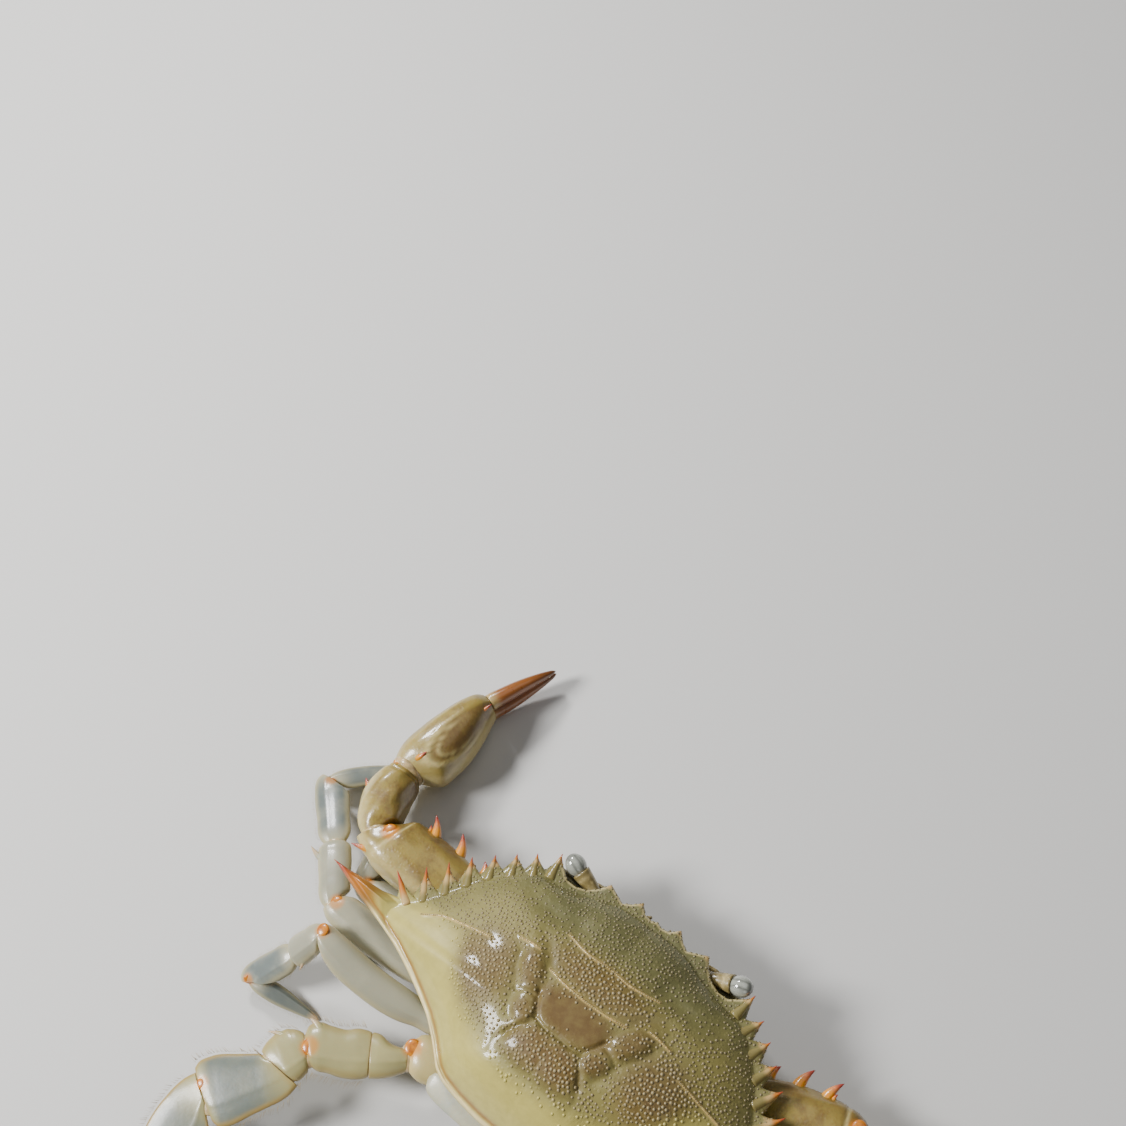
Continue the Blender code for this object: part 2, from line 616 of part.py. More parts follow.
def piece_rings(limb, k, bow):
    """Rings of one limb piece between the planes of its two joints, bowed to one side."""
    name, _, half_width, half_height = limb["pieces"][k]
    start, end = limb["joints"][k], limb["joints"][k + 1]
    first_normal, last_normal = joint_normal(limb, k), joint_normal(limb, k + 1)
    axis = (end - start).normalized()
    form = FORMS.get(limb["kind"], LEG_FORMS).get(name, ARM_FORM)
    rings = []
    last = len(form) - 1
    for n, (share, rear, front, height) in enumerate(form):
        centre = start.lerp(end, share)
        centre += bow * (4 * share * (1 - share))
        normal = axis
        if n == 0:
            normal = first_normal
            centre = centre + first_normal * (GAP / 2)
        elif n == last:
            normal = last_normal
            centre = centre - last_normal * (GAP / 2)
        widths = (rear, front) if limb["side"] == LEFT else (front, rear)
        ring = ring_at(centre, normal, widths[0] * half_width * MM, half_height * height * MM,
                       other_width=widths[1] * half_width * MM)
        if n not in (0, last):
            clear_start = GAP / 2 + RING_STEP * n
            clear_end = GAP / 2 + RING_STEP * (last - n)
            for i, point in enumerate(ring):
                past = (point - start).dot(first_normal)
                if past < clear_start:
                    point = point + first_normal * (clear_start - past)
                short = (end - point).dot(last_normal)
                if short < clear_end:
                    point = point - last_normal * (clear_end - short)
                ring[i] = point
        rings.append(ring)
    return rings


def place(limb, k, share, across, up):
    """A point on piece k of a limb: along it, across it towards the front, and up."""
    start, end = limb["joints"][k], limb["joints"][k + 1]
    axis = (end - start).normalized()
    front = Vector((axis.y, -axis.x, 0)).normalized()
    if front.y > 0 or (abs(front.y) < 0.05 and front.x * start.x < 0):
        front = -front
    return start.lerp(end, share) + front * (across * MM) + UP * (up * MM)


def limb_spines(limb, k, table, scratch):
    """The spines of one piece of a limb."""
    found = []
    for piece, share, across, tip_share, tip_across, low, high, radius in table:
        if piece == k:
            found.append(spine(place(limb, k, share, across, low),
                               place(limb, k, tip_share, tip_across, high), radius * MM, scratch))
    return found


def finger_rings(limb, lift, tip_lift, arch, half, start_share, count=10):
    """Rings of one finger from the palm's end to a point, arched up or down."""
    start, end = limb["joints"][4], limb["joints"][5]
    normal = joint_normal(limb, 4)
    rings = []
    for share, size in ((start_share, 1.0), (0.2, 0.95), (0.45, 0.82), (0.7, 0.6),
                        (0.88, 0.38), (1.0, 0.12)):
        rise = lift + (tip_lift - lift) * max(share, 0.0) + arch * 4 * share * (1 - share)
        centre = start.lerp(end, share) + UP * (rise * MM)
        across = (end - start).normalized()
        if share <= 0.05:
            across = normal
            centre = start + (UP - normal * normal.z).normalized() * (rise * MM)
            centre += normal * (share * FINGER_LENGTH * MM)
        rings.append(ring_at(centre, across, half * 0.92 * size * MM, half * size * MM, count))
    return rings


def make_claw(limb, collection, scratch, colour):
    """Arm pieces, the palm with its fixed finger, and the movable finger."""
    for k, (name, _, _, _) in enumerate(limb["pieces"][:4]):
        outward = limb["side"] * CARPUS_BOW if name == "carpus" else 0.0
        rings = piece_rings(limb, k, Vector((outward, 0, 0)))
        item = add_object(limb["name"] + "_" + name, loft(rings), collection, colour, 0.35)
        joined = limb_spines(limb, k, CLAW_SPINES, scratch)
        if name == "palm":
            rings = finger_rings(limb, -2.9, -1.0, -0.3, 2.6, -0.2)
            joined.append(add_object("fixed_finger", loft(rings), scratch))
        if joined:
            apply_boolean(item, "UNION", joined)
        trim_at_floor(item)
    rings = finger_rings(limb, 2.9, 0.8, 0.9, 2.5, GAP / 2 / MM / FINGER_LENGTH)
    add_object(limb["name"] + "_dactyl", loft(rings), collection, (0.6, 0.22, 0.06), 0.35)


def make_leg(limb, collection, scratch, colour):
    """The pieces of a walking or swimming leg."""
    for k, (name, _, _, _) in enumerate(limb["pieces"]):
        bow = limb["bow"] if name == "merus" else 0.0
        item = add_object(limb["name"] + "_" + name, loft(piece_rings(limb, k, Vector((0, bow, 0)))),
                          collection, colour, 0.35)
        spines = limb_spines(limb, k, LEG_SPINES.get(limb["kind"], ()), scratch)
        if spines:
            apply_boolean(item, "UNION", spines)
        trim_at_floor(item)


def main():
    for item in list(bpy.data.objects):
        bpy.data.objects.remove(item)
    scene = bpy.context.scene
    crab = bpy.data.collections.new("blue_crab")
    scratch = bpy.data.collections.new("cutters")
    for group in (crab, scratch):
        scene.collection.children.link(group)
    make_carapace(crab, scratch)
    make_underside(crab, scratch)
    for tag, side in SIDES:
        make_eye(tag, side, crab)
        make_feelers(tag, side, crab)
        for limb in limbs(tag, side):
            if limb["kind"] == "cheliped":
                make_claw(limb, crab, scratch, (0.42, 0.36, 0.16))
            else:
                make_leg(limb, crab, scratch, (0.5, 0.55, 0.55))
    bpy.data.collections.remove(scratch)


main()
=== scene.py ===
"""Blue crab, life size, at rest on its belly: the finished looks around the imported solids.

The crab faces -Y, its own left is +X and the floor is z = 0. Shapes are worked out in
millimetres and become metres when their mesh is made.
"""

import math

import bpy
import numpy as np
from mathutils.kdtree import KDTree
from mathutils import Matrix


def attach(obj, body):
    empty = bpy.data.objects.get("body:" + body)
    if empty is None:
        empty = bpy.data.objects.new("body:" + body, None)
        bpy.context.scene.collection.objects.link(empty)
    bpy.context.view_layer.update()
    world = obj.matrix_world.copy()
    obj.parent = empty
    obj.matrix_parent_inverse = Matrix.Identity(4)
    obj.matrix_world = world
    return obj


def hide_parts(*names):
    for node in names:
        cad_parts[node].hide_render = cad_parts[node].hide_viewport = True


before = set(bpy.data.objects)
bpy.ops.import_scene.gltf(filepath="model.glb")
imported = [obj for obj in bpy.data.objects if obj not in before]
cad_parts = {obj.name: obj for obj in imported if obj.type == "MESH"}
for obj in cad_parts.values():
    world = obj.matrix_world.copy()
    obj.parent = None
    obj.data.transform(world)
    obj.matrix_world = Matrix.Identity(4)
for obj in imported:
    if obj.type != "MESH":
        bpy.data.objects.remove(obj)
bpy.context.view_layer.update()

bl_info = {
    "name": "Blue crab",
    "version": (1, 0, 0),
    "blender": (4, 5, 0),
    "location": "View3D > Sidebar > Crab",
    "description": "Builds the shell, claws, legs and underside of a life-size blue crab",
    "category": "Object",
}

MM = 0.001
UP, ACROSS = np.array((0.0, 0.0, 1.0)), np.array((1.0, 0.0, 0.0))
ABOVE_FLOOR = 0.05
SIDES = (("l", 1), ("r", -1))

# Shell sizes in millimetres. The solids follow the same lines more simply
RIM_HEIGHT, DOME_HEIGHT, SHELL_FLOOR, REAR_DROP, CENTRE_Y = 20.5, 13.5, 13.2, 4.0, 2.0
TOOTH_TIPS = ((28.4, -34.3), (33.2, -30.8), (37.2, -27.8), (41.3, -24.4), (45.6, -20.6),
              (49.3, -16.2), (53.0, -12.0), (58.1, -7.1), (72.2, 0.0))
TOOTH_NOTCHES = ((29.7, -29.2), (33.8, -26.4), (38.2, -23.2), (41.7, -18.9), (45.0, -14.1),
                 (47.8, -9.4), (51.7, -4.9))
BAY = ((54.6, -2.5), (58.5, -1.5), (65.0, -0.9))
FRONT_EDGE = ((0.0, -35.2), (1.6, -34.6), (3.6, -35.0), (5.6, -37.0), (7.6, -35.0),
              (9.6, -33.8), (11.8, -34.8), (14.5, -36.0), (16.2, -33.4), (18.4, -31.4),
              (21.2, -30.4), (23.8, -30.5), (25.8, -32.0))
REAR_EDGE = ((72.2, 0.0), (66.0, 1.9), (60.5, 3.4), (54.5, 4.9), (47.5, 7.0), (41.0, 9.7),
             (35.5, 12.4), (30.6, 15.1), (26.6, 18.2), (23.6, 20.9), (21.4, 22.9), (18.6, 24.2),
             (13.4, 25.3), (7.0, 26.0), (0.0, 26.2))
BASE_LINE = ((-90, 34.6), (-75, 35.6), (-60, 36.4), (-50, 38.8), (-44, 41.6), (-36, 43.2),
             (-27, 44.6), (-18, 45.9), (-12, 47.4), (-7, 50.0), (-4, 52.4), (-1, 53.8),
             (2, 52.6), (5, 48.2), (9, 42.6), (13, 38.5), (18, 35.0), (24, 32.2), (31, 30.3),
             (43, 29.0), (48, 28.2), (60, 26.0), (75, 24.3), (90, 23.7))
NOTCHES = np.array((FRONT_EDGE[-1], *TOOTH_NOTCHES, BAY[0]))
# Tip of each side tooth, with the notches before and after it
SIDE_TEETH = tuple(zip(np.array(TOOTH_TIPS), NOTCHES, NOTCHES[1:]))
# Where the colour of each side tooth's cone starts, as a share of its length
TIP_STARTS = (0.48, 0.46, 0.4, 0.32, 0.2, 0.08, -0.05, -0.7)
# Coloured tips: x, y, radius, strength
TIP_MARKS = (*((x, y, 6.0 if x > 48 else 3.4, 1.0) for x, y in TOOTH_TIPS[:-1]),
             (5.6, -37.0, 2.4, 0.42), (14.5, -36.0, 2.4, 0.42))
DOME_RINGS, BRIM_RINGS = 76, 10
TOP_RINGS = DOME_RINGS + BRIM_RINGS
# Rise of the shell's underside towards its edge, by the share of the way out
UNDER_LIFT = ((0.0, 0.0), (0.68, 0.0), (0.86, 0.45), (1.0, 1.0))

# Swells on the shell's left half: x, y, half length, half width, turn, height, sharpness, brown
SWELLS = ((0.0, -13.6, 14.5, 4.8, 0, 0.7, 1.3, 0.8), (0.0, -3.7, 11.6, 5.2, 0, 0.5, 2.4, 0.95),
          (14.2, -7.2, 5.6, 3.1, -54, 1.4, 1.6, 0.85), (10.1, 1.5, 3.4, 2.6, -30, 1.1, 1.7, 0.85),
          (3.4, 6.6, 6.6, 4.8, 8, 1.0, 1.6, 0.95), (24.5, -1.0, 8.0, 9.0, -20, 1.1, 1.3, 0.85),
          (38.0, -7.0, 12.0, 4.6, 12, 0.5, 1.2, 0.0), (9.0, 17.0, 8.0, 4.5, 10, 0.4, 1.2, 0.0),
          (20.5, -25.0, 5.5, 3.4, -25, 0.8, 1.2, 0.0), (8.0, -27.0, 6.5, 3.6, 0, 0.6, 1.2, 0.0))
# Grooves as width, depth and the points of their line
GROOVES = ((0.6, 0.9, ((0.0, 1.5), (3.4, 1.8), (6.4, 1.0), (8.2, -1.4), (9.6, -4.2))),
           (1.5, 0.6, ((9.6, -4.2), (10.4, -7.4), (12.4, -11.4), (15.0, -14.0), (18.0, -16.0))),
           (0.7, 0.9, ((7.0, 1.2), (7.2, 3.0), (8.8, 4.8), (10.4, 7.6))),
           (1.2, 0.4, ((10.4, 7.6), (11.4, 10.4), (11.2, 13.0))),
           (1.2, 0.6, ((18.9, -9.0), (18.0, -6.4), (15.4, -2.6), (14.0, 1.8), (12.4, 4.0))),
           (0.5, 0.7, ((10.4, -3.0), (12.2, -2.6), (14.4, -1.2))),
           (1.4, 0.4, ((0.0, 13.0), (4.4, 12.8), (9.0, 11.8))),
           (2.4, 0.8, ((13.0, -22.2), (17.0, -21.0), (22.0, -20.6), (27.0, -22.6))))
# Fine raised lines
RIDGES = (((0.3, -18.1), (5.7, -17.7), (10.2, -18.4), (13.1, -19.1)),
          ((0.0, -8.6), (5.9, -8.8), (11.0, -9.7)),
          ((46.0, -2.4), (40.9, -5.1), (34.0, -6.4), (27.3, -7.5)),
          ((21.7, -11.5), (18.8, -11.9), (15.7, -12.1)))
# Where the grains stop at the smooth rear corners: distance from the middle and y
GRAIN_LIMIT = ((0, 14.5), (9, 14), (15, 12.4), (20, 10.6), (25, 8), (29, 4), (32, -0.5), (35, -3.5),
               (42, -4.5), (75, -3))
# Fields of larger grains: x, y, half length, half width
COARSE_FIELDS = ((0, -15, 17, 8), (25, -2, 10, 10), (3, 7.5, 9, 7), (11, 17, 10, 6))
GRAIN_SCALE, GRAINS_PER_AREA, BEAD_RADIUS = (1.0, 1.0, 0.55), 5000000.0, 0.00021
HAIR_RADIUS, HAIR_END_RADIUS = 0.00006, 0.000008

# Limbs, with the same joints as the solids
FINGER = 20.0
CLAW_SECTIONS = (("ischium", 5.0, 3.9), ("merus", 8.3, 5.5), ("carpus", 6.2, 6.1),
                 ("palm", 7.0, 8.7), ("dactyl", 2.5, 2.5))
LEG_SECTIONS = (("merus", 4.5, 2.8), ("carpus", 4.0, 2.5), ("propodus", 4.3, 2.1),
                ("dactyl", 2.6, 1.4))
PADDLE_SECTIONS = (("ischium", 5.4, 3.0), ("merus", 5.8, 2.8), ("carpus", 6.2, 2.4),
                   ("propodus", 8.0, 1.6), ("dactyl", 8.0, 0.9))
SECTIONS = {"cheliped": CLAW_SECTIONS, "paddle_leg": PADDLE_SECTIONS}
ARM_FORM = ((0.0, 0.62, 0.66), (0.1, 0.86, 0.86), (0.4, 0.96, 1.0), (0.8, 1.02, 1.0),
            (0.93, 0.95, 0.93), (1.0, 0.72, 0.74))
CLAW_MERUS_FORM = ((0.0, 0.52, 0.6), (0.1, 0.66, 0.7), (0.3, 0.9, 0.86), (0.62, 1.0, 1.0),
                   (0.88, 0.9, 1.0), (1.0, 0.66, 0.76))
LEG_MERUS_FORM = ((0.0, 0.66, 0.95), (0.09, 0.8, 1.12), (0.2, 0.74, 0.98), (0.3, 0.9, 1.0),
                  (0.6, 1.0, 1.0), (0.86, 0.98, 1.0), (0.95, 0.9, 0.92), (1.0, 0.7, 0.74))
DACTYL_FORM = ((0.0, 0.6, 0.75), (0.12, 0.9, 0.95), (0.35, 1.0, 1.0), (0.65, 0.7, 0.8),
               (0.88, 0.36, 0.55), (1.0, 0.08, 0.2))
CARPUS_FORM = ((0.0, 0.62, 0.66), (0.12, 0.86, 0.86), (0.4, 1.0, 1.0), (0.7, 0.95, 1.0),
               (0.9, 0.74, 0.9), (1.0, 0.54, 0.7))
# Share along, reach to the rear or outer side, reach to the front or inner side, height
PALM_FORM = ((0.0, 0.62, 0.66, 0.62), (0.1, 0.82, 1.1, 0.84), (0.35, 0.92, 1.22, 1.0),
             (0.6, 0.9, 1.04, 1.0), (0.8, 0.82, 0.74, 0.92), (0.93, 0.68, 0.52, 0.76),
             (1.0, 0.5, 0.4, 0.6))
ISCHIUM_FORM = ((0.0, 0.6, 0.3, 0.72), (0.25, 0.78, 0.36, 0.9), (0.5, 0.92, 0.5, 1.0),
                (0.77, 1.0, 0.84, 1.0), (1.0, 1.02, 0.94, 0.9))
MERUS_FORM = ((0.0, 0.92, 0.88, 0.88), (0.2, 1.0, 0.98, 1.0), (0.42, 0.97, 0.92, 1.0),
              (0.67, 0.8, 1.06, 1.0), (0.86, 0.72, 1.16, 0.98), (0.95, 0.62, 0.98, 0.88),
              (1.0, 0.48, 0.66, 0.72))
WEDGE_FORM = ((0.0, 0.5, 0.7, 0.7), (0.17, 0.62, 1.04, 0.9), (0.5, 0.78, 1.18, 1.0),
              (0.85, 0.86, 1.12, 0.95), (1.0, 0.8, 0.94, 0.8))
PLATE_FORM = ((0.0, 0.8, 0.42, 0.9), (0.1, 0.92, 0.5, 1.0), (0.3, 1.0, 0.66, 1.0),
              (0.45, 1.04, 0.78, 1.0), (0.8, 1.1, 1.0, 0.95), (0.94, 1.0, 0.96, 0.85),
              (1.0, 0.84, 0.84, 0.7))
PADDLE_FORM = ((0.0, 0.3, 0.72, 1.3), (0.08, 0.42, 0.86, 1.2), (0.22, 0.66, 1.0, 1.0),
               (0.45, 0.98, 1.06, 1.0), (0.66, 1.0, 0.96, 0.9), (0.84, 0.76, 0.68, 0.8),
               (0.95, 0.42, 0.36, 0.7), (1.0, 0.12, 0.12, 0.5))
FORMS = {"cheliped": {"merus": CLAW_MERUS_FORM, "carpus": CARPUS_FORM, "palm": PALM_FORM},
         "paddle_leg": {"ischium": ISCHIUM_FORM, "merus": MERUS_FORM, "carpus": WEDGE_FORM,
                        "propodus": PLATE_FORM, "dactyl": PADDLE_FORM}}
LEG_FORMS = {"merus": LEG_MERUS_FORM, "dactyl": DACTYL_FORM}
FINGER_FORM = ((-0.2, 1.0), (0.0, 1.0), (0.2, 0.95), (0.45, 0.82), (0.7, 0.6), (0.88, 0.38),
               (0.97, 0.2), (1.0, 0.06))
# Heights of the fingers' teeth, in turn
FINGER_TEETH = (0.95, 0.5, 0.62, 0.45)
# How blue the leg pieces are, by piece and by limb and piece; the second leg's merus is made bluer
# and darker as painted shade
BLUENESS_AND_SHADE = {"merus": 0.12, "carpus": 0.25, "propodus": 0.95, "dactyl": 0.9,
            ("paddle_leg", "merus"): 0.05, ("paddle_leg", "carpus"): 0.05, ("leg2", "merus"): 0.4}
# Joints whose plane is turned from the middle of the two directions, in degrees
SKEWS = {"paddle_leg": {3: -28, 4: 14}}
# Orange knobs by joint: distance before its middle, share of its height and radius
LEG_KNOBS = {1: (0.8, 0.66, 1.5), 3: (0.6, 0.66, 1.2)}
KNOBS = {"cheliped": {2: (3.6, 0.84, 1.7), 3: (-2.3, 0.66, 1.0)},
         "paddle_leg": {0: (1.9, 0.66, 1.9), 2: (0.6, 0.7, 1.8), 4: (2.4, 0.66, 1.3)},
         "leg2": LEG_KNOBS, "leg3": LEG_KNOBS, "leg4": LEG_KNOBS}
POSES = {
    "cheliped": {
        "root": (25.5, -14.5, 8.5), "coxa": (5.2, 4.6), "width": 1.0, "bow": 0.0,
        "lengths": (10.5, 36.4, 18.0, 27.6, FINGER),
        "l": ((-5, 10), (-1, 3), (74, -5), (100, -8), (112, -3)),
        "r": ((4, 10), (13, 3), (6, -5), (4, -8), (8, -3))},
    "leg2": {
        "root": (28.3, -4.7, 8.3), "coxa": (3.6, 3.6), "width": 0.9, "bow": 0.5,
        "lengths": (40.0, 15.0, 19.0, 21.0),
        "l": ((-5, -3), (74, -10), (173, -4), (167, 0)),
        "r": ((3, 13), (6, -18), (1, -34), (-7, 0))},
    "leg3": {
        "root": (28.4, 3.8, 8.3), "coxa": (3.7, 3.7), "width": 1.0, "bow": 1.6,
        "lengths": (41.0, 16.6, 19.4, 23.5),
        "l": ((-5, 6), (47, -10), (42, -15), (131, 0)),
        "r": ((-4, 15), (-3, -20), (-11, -34), (-19, 0))},
    "leg4": {
        "root": (26.6, 12.9, 8.3), "coxa": (3.6, 3.7), "width": 0.9, "bow": 2.6,
        "lengths": (39.0, 10.6, 15.5, 19.6),
        "l": ((-4, 15), (-59, -36), (-56, -33), (172, 0)),
        "r": ((-13, 15), (-26, -16), (-33, -34), (-46, 0))},
    "paddle_leg": {
        "root": (30.0, 24.5, 11.4), "coxa": (5.5, 3.2), "width": 1.0, "bow": 0.0,
        "lengths": (9.1, 15.0, 7.7, 19.3, 26.0),
        "l": ((-34, 7), (-36, 7), (-66, -2), (-55, -6), (-97, -9)),
        "r": ((-34, 7), (-34, 7), (-60, 0), (-57, -6), (-90, -8))},
}
CLAW_SHORTER_RIGHT = 5.2
CARPUS_BOW = 1.8
LEG_END_HEIGHT = 0.45
# Spines: piece, share along and distance across the root and the tip, heights, and radius
CLAW_SPINES = (
    (1, 0.21, 6.0, 0.26, 10.0, 0.6, 1.2, 1.5), (1, 0.43, 5.4, 0.5, 12.2, 0.6, 1.8, 1.9),
    (1, 0.645, 6.0, 0.73, 12.0, 0.6, 1.8, 1.7), (1, 0.7, 7.0, 0.715, 9.2, 1.2, 1.8, 0.7),
    (1, 0.93, -4.2, 1.08, -6.4, 1.6, 2.4, 1.3), (2, 0.5, -5.0, 0.66, -8.6, 2.0, 2.6, 1.2),
    (3, 0.12, -1.0, 0.22, -2.4, 5.4, 8.8, 1.1), (3, 0.82, -1.2, 1.0, -2.2, 4.6, 6.8, 1.0))
LEG_SPINES = {"leg3": ((1, 0.72, -2.4, 0.98, -6.0, 0.4, 0.8, 1.1),),
              "leg4": ((1, 0.66, -1.8, 0.98, -4.6, 0.4, 0.8, 0.9),),
              "paddle_leg": ((1, 0.8, 4.4, 0.99, 7.6, 0.5, 1.2, 1.5),
                             (2, 0.4, 5.0, 0.84, 8.8, 0.4, 0.9, 1.0))}

# Underside
PLEON_PATH = ((19.6, 11.2, 13.0), (24.8, 11.4, 14.5), (27.4, 9.6, 15.6), (27.6, 6.4, 16.6),
              (25.6, 3.2, 17.4), (21.6, 1.4, 18.0), (12.0, 1.4, 18.2), (3.0, 1.4, 16.2),
              (-5.0, 1.4, 11.4), (-9.5, 1.4, 6.6), (-12.0, 1.4, 3.2), (-15.0, 1.4, 0.9))
PLEON_HALF_THICKNESS = 1.4
# Joints between the rings of the tail, as lengths along it
PLEON_JOINTS = (5.5, 10.0, 15.5, 24.0, 33.0, 41.5, 48.0)
FIRST_RING = ((22.6, 25.3, 13.5), (18.0, 26.1, 13.7), (12.0, 26.4, 13.9), (0.0, 26.6, 14.0),
              (-12.0, 26.4, 13.9), (-18.0, 26.1, 13.7), (-22.6, 25.3, 13.5))
THORAX_LEVELS = ((0.9, -16.5, 17.5, 0.80), (3.6, -20.0, 20.5, 1.0), (8.4, -24.2, 21.0, 1.0),
                 (12.9, -27.8, 19.5, 0.93))
THORAX_HALF_WIDTH = 27.5
THORAX_GROOVES = (-10.2, -0.6, 8.4, 15.6)
COXA_FORM = ((0.0, 0.55), (0.55, 0.85), (0.8, 1.05), (0.93, 0.92), (1.0, 0.6))
MOUTH_FOOT, MOUTH_TOP = (-18.6, 2.6), (-27.4, 12.2)
# Mouth plates: from and to across, from and to along, from and to outwards, and their masks
MOUTH_PLATES = (((0.15, 5.3, 0.0, 0.62, -2.3, 0.45), {}),
                ((0.2, 5.0, 0.6, 1.0, -2.3, 0.6), {"edge": 0.6}),
                ((5.5, 8.1, 0.0, 0.98, -2.3, 0.1), {"groove": 0.4}))
EYESTALK = ((13.5, -29.0, 17.2), (18.8, -33.0, 17.9), (22.6, -34.2, 19.4))
# Ledge under each orbit
ORBIT_LEDGE = ((9.0, -31.2, 15.6), (13.5, -32.6, 15.6), (18.5, -31.8, 15.6),
               (23.5, -31.4, 16.0), (28.0, -31.6, 17.6))
ANTENNA = ((11.5, -28.5, 16.0), (12.4, -31.6, 15.7), (13.4, -34.0, 15.4), (15.6, -34.9, 15.1),
           (18.6, -35.0, 14.7), (22.0, -34.2, 14.4), (25.4, -32.6, 14.2))
ANTENNULE = ((4.6, -28.5, 16.6), (5.0, -31.8, 16.2), (4.6, -34.2, 16.0), (3.7, -35.4, 16.2),
             (2.7, -35.9, 16.9))
EYE_RADIUS = 2.3

# Fixed tints
MOTTLE = (0.62, 0.58, 0.5)
SPINE_ORANGE, SPINE_RED, SPINE_END = (0.74, 0.28, 0.006), (0.62, 0.19, 0.05), (0.32, 0.03, 0.015)
LEG_TIP, KNOB_SHADE = (0.5, 0.36, 0.2), (0.36, 0.090, 0.002)
PLATE_GROOVE, PLATE_EDGE, PLATE_JOINT = (0.40, 0.32, 0.15), (0.62, 0.48, 0.2), (0.60, 0.205, 0.003)

# Camera, found from the places of the teeth, eyes and spines
CAMERA_PLACE = (-0.07825, 0.03746, 0.41997)
CAMERA_TURN = (26.7478, 5.6255, -141.8590)
CAMERA_LENS = 54.353
SENSOR = 36.0
FLOOR_HALF = 3.0
LAMPS_AIM = (0.0, -0.01, 0.02)


def size_option(name, text, value):
    """A length that the user may change."""
    return bpy.props.FloatProperty(name=name, description=text, default=value, min=0.0,
                                   unit="LENGTH", precision=5)


def share_option(name, text, value):
    """A share from none to all."""
    return bpy.props.FloatProperty(name=name, description=text, default=value, min=0.0, max=1.0,
                                   subtype="FACTOR")


def colour_option(name, text, value):
    """A colour that the user may change."""
    return bpy.props.FloatVectorProperty(name=name, description=text, default=value, size=3,
                                         min=0.0, max=1.0, subtype="COLOR")


class CrabShellSettings(bpy.types.PropertyGroup):
    relief: share_option("Relief", "How strongly the lobes and grooves stand out", 0.65)
    rim: size_option("Rim height", "Height of the raised rear rim", 0.0006)
    grain_size: size_option("Grain size", "Radius of the largest pale grains", 0.0005)
    grain_gap: size_option("Grain gap", "Least distance between two grains", 0.0009)
    bead_gap: size_option("Bead gap", "Distance between beads on the fine lines", 0.00055)
    olive: colour_option("Olive", "Main colour of the shell", (0.255, 0.220, 0.064))
    front: colour_option("Front", "Darker green along the front", (0.098, 0.098, 0.036))
    brown: colour_option("Brown", "Raised lobes", (0.128, 0.073, 0.015))
    yellow: colour_option("Yellow", "Smooth rear corners", (0.510, 0.440, 0.115))
    pale: colour_option("Pale", "Grains", (0.30, 0.235, 0.112))
    line: colour_option("Line", "Fine raised lines", (0.62, 0.44, 0.15))
    cream: colour_option("Cream", "Rear rim", (0.93, 0.76, 0.36))
    tooth: colour_option("Tooth", "Pale flanks of the teeth", (0.50, 0.33, 0.12))
    orange: colour_option("Orange", "Lower part of the tooth tips", (0.50, 0.155, 0.006))
    red: colour_option("Red", "Ends of the teeth and side spines", (0.42, 0.045, 0.012))
    ochre: colour_option("Ochre", "Roots of the side spines", (0.30, 0.130, 0.012))


class CrabLimbSettings(bpy.types.PropertyGroup):
    claw: colour_option("Claw", "Main colour of the claws", (0.290, 0.212, 0.044))
    claw_dark: colour_option("Claw shade", "Darker patches on the claws", (0.130, 0.070, 0.016))
    claw_pale: colour_option("Claw edge", "Pale lines and lower faces", (0.52, 0.42, 0.17))
    finger: colour_option("Finger", "Orange-brown of the fingers", (0.25, 0.080, 0.012))
    tooth: colour_option("Finger teeth", "Biting edge of the fingers", (0.70, 0.58, 0.38))
    leg: colour_option("Leg", "Blue-grey faces of the legs", (0.36, 0.34, 0.235))
    leg_blue: colour_option("Leg blue", "Bluer patches on the legs", (0.066, 0.098, 0.112))
    leg_edge: colour_option("Leg edge", "Cream-yellow edges of the legs", (0.50, 0.43, 0.22))
    paddle: colour_option("Paddle", "Inner pieces of the paddle legs", (0.36, 0.32, 0.140))
    paddle_edge: colour_option("Paddle edge", "Ochre edges of the paddles", (0.36, 0.245, 0.070))
    joint: colour_option("Joint", "Bright orange at the joints", (0.60, 0.205, 0.003))
    skin: colour_option("Joint skin", "Soft skin between the pieces", (0.55, 0.40, 0.19))
    hair: colour_option("Hair", "Fringes of the paddles and legs", (0.40, 0.29, 0.13))
    hair_length: size_option("Hair length", "Longest hairs of the fringes", 0.0021)
    hair_gap: size_option("Hair gap", "Distance between two hairs", 0.00032)


class CrabBodySettings(bpy.types.PropertyGroup):
    plate: colour_option("Plates", "Pale plates of the underside", (0.66, 0.61, 0.44))
    plate_shade: colour_option("Plate shade", "Bluish shade on the plates", (0.33, 0.38, 0.37))
    coxa: colour_option("Leg roots", "Ochre roots of the limbs", (0.46, 0.37, 0.15))
    strip: colour_option("Rear strip", "First ring of the tail", (0.43, 0.41, 0.28))
    eye: colour_option("Eye", "Glassy grey of the eyes", (0.34, 0.35, 0.30))
    stalk: colour_option("Stalk", "Eyestalks and feelers", (0.20, 0.150, 0.050))


class CrabStageSettings(bpy.types.PropertyGroup):
    floor: colour_option("Floor", "Plain pale floor", (0.62, 0.61, 0.59))
    light: bpy.props.FloatProperty(name="Main light", description="Power of the main soft light",
                                   default=10.2, min=0.0, unit="POWER")
    fill: bpy.props.FloatProperty(name="Fill light", description="Power of the fill light",
                                  default=1.3, min=0.0, unit="POWER")
    lens: bpy.props.FloatProperty(name="Lens", description="Length of the camera's lens",
                                  default=CAMERA_LENS, min=1.0, unit="CAMERA")


# Shader maths

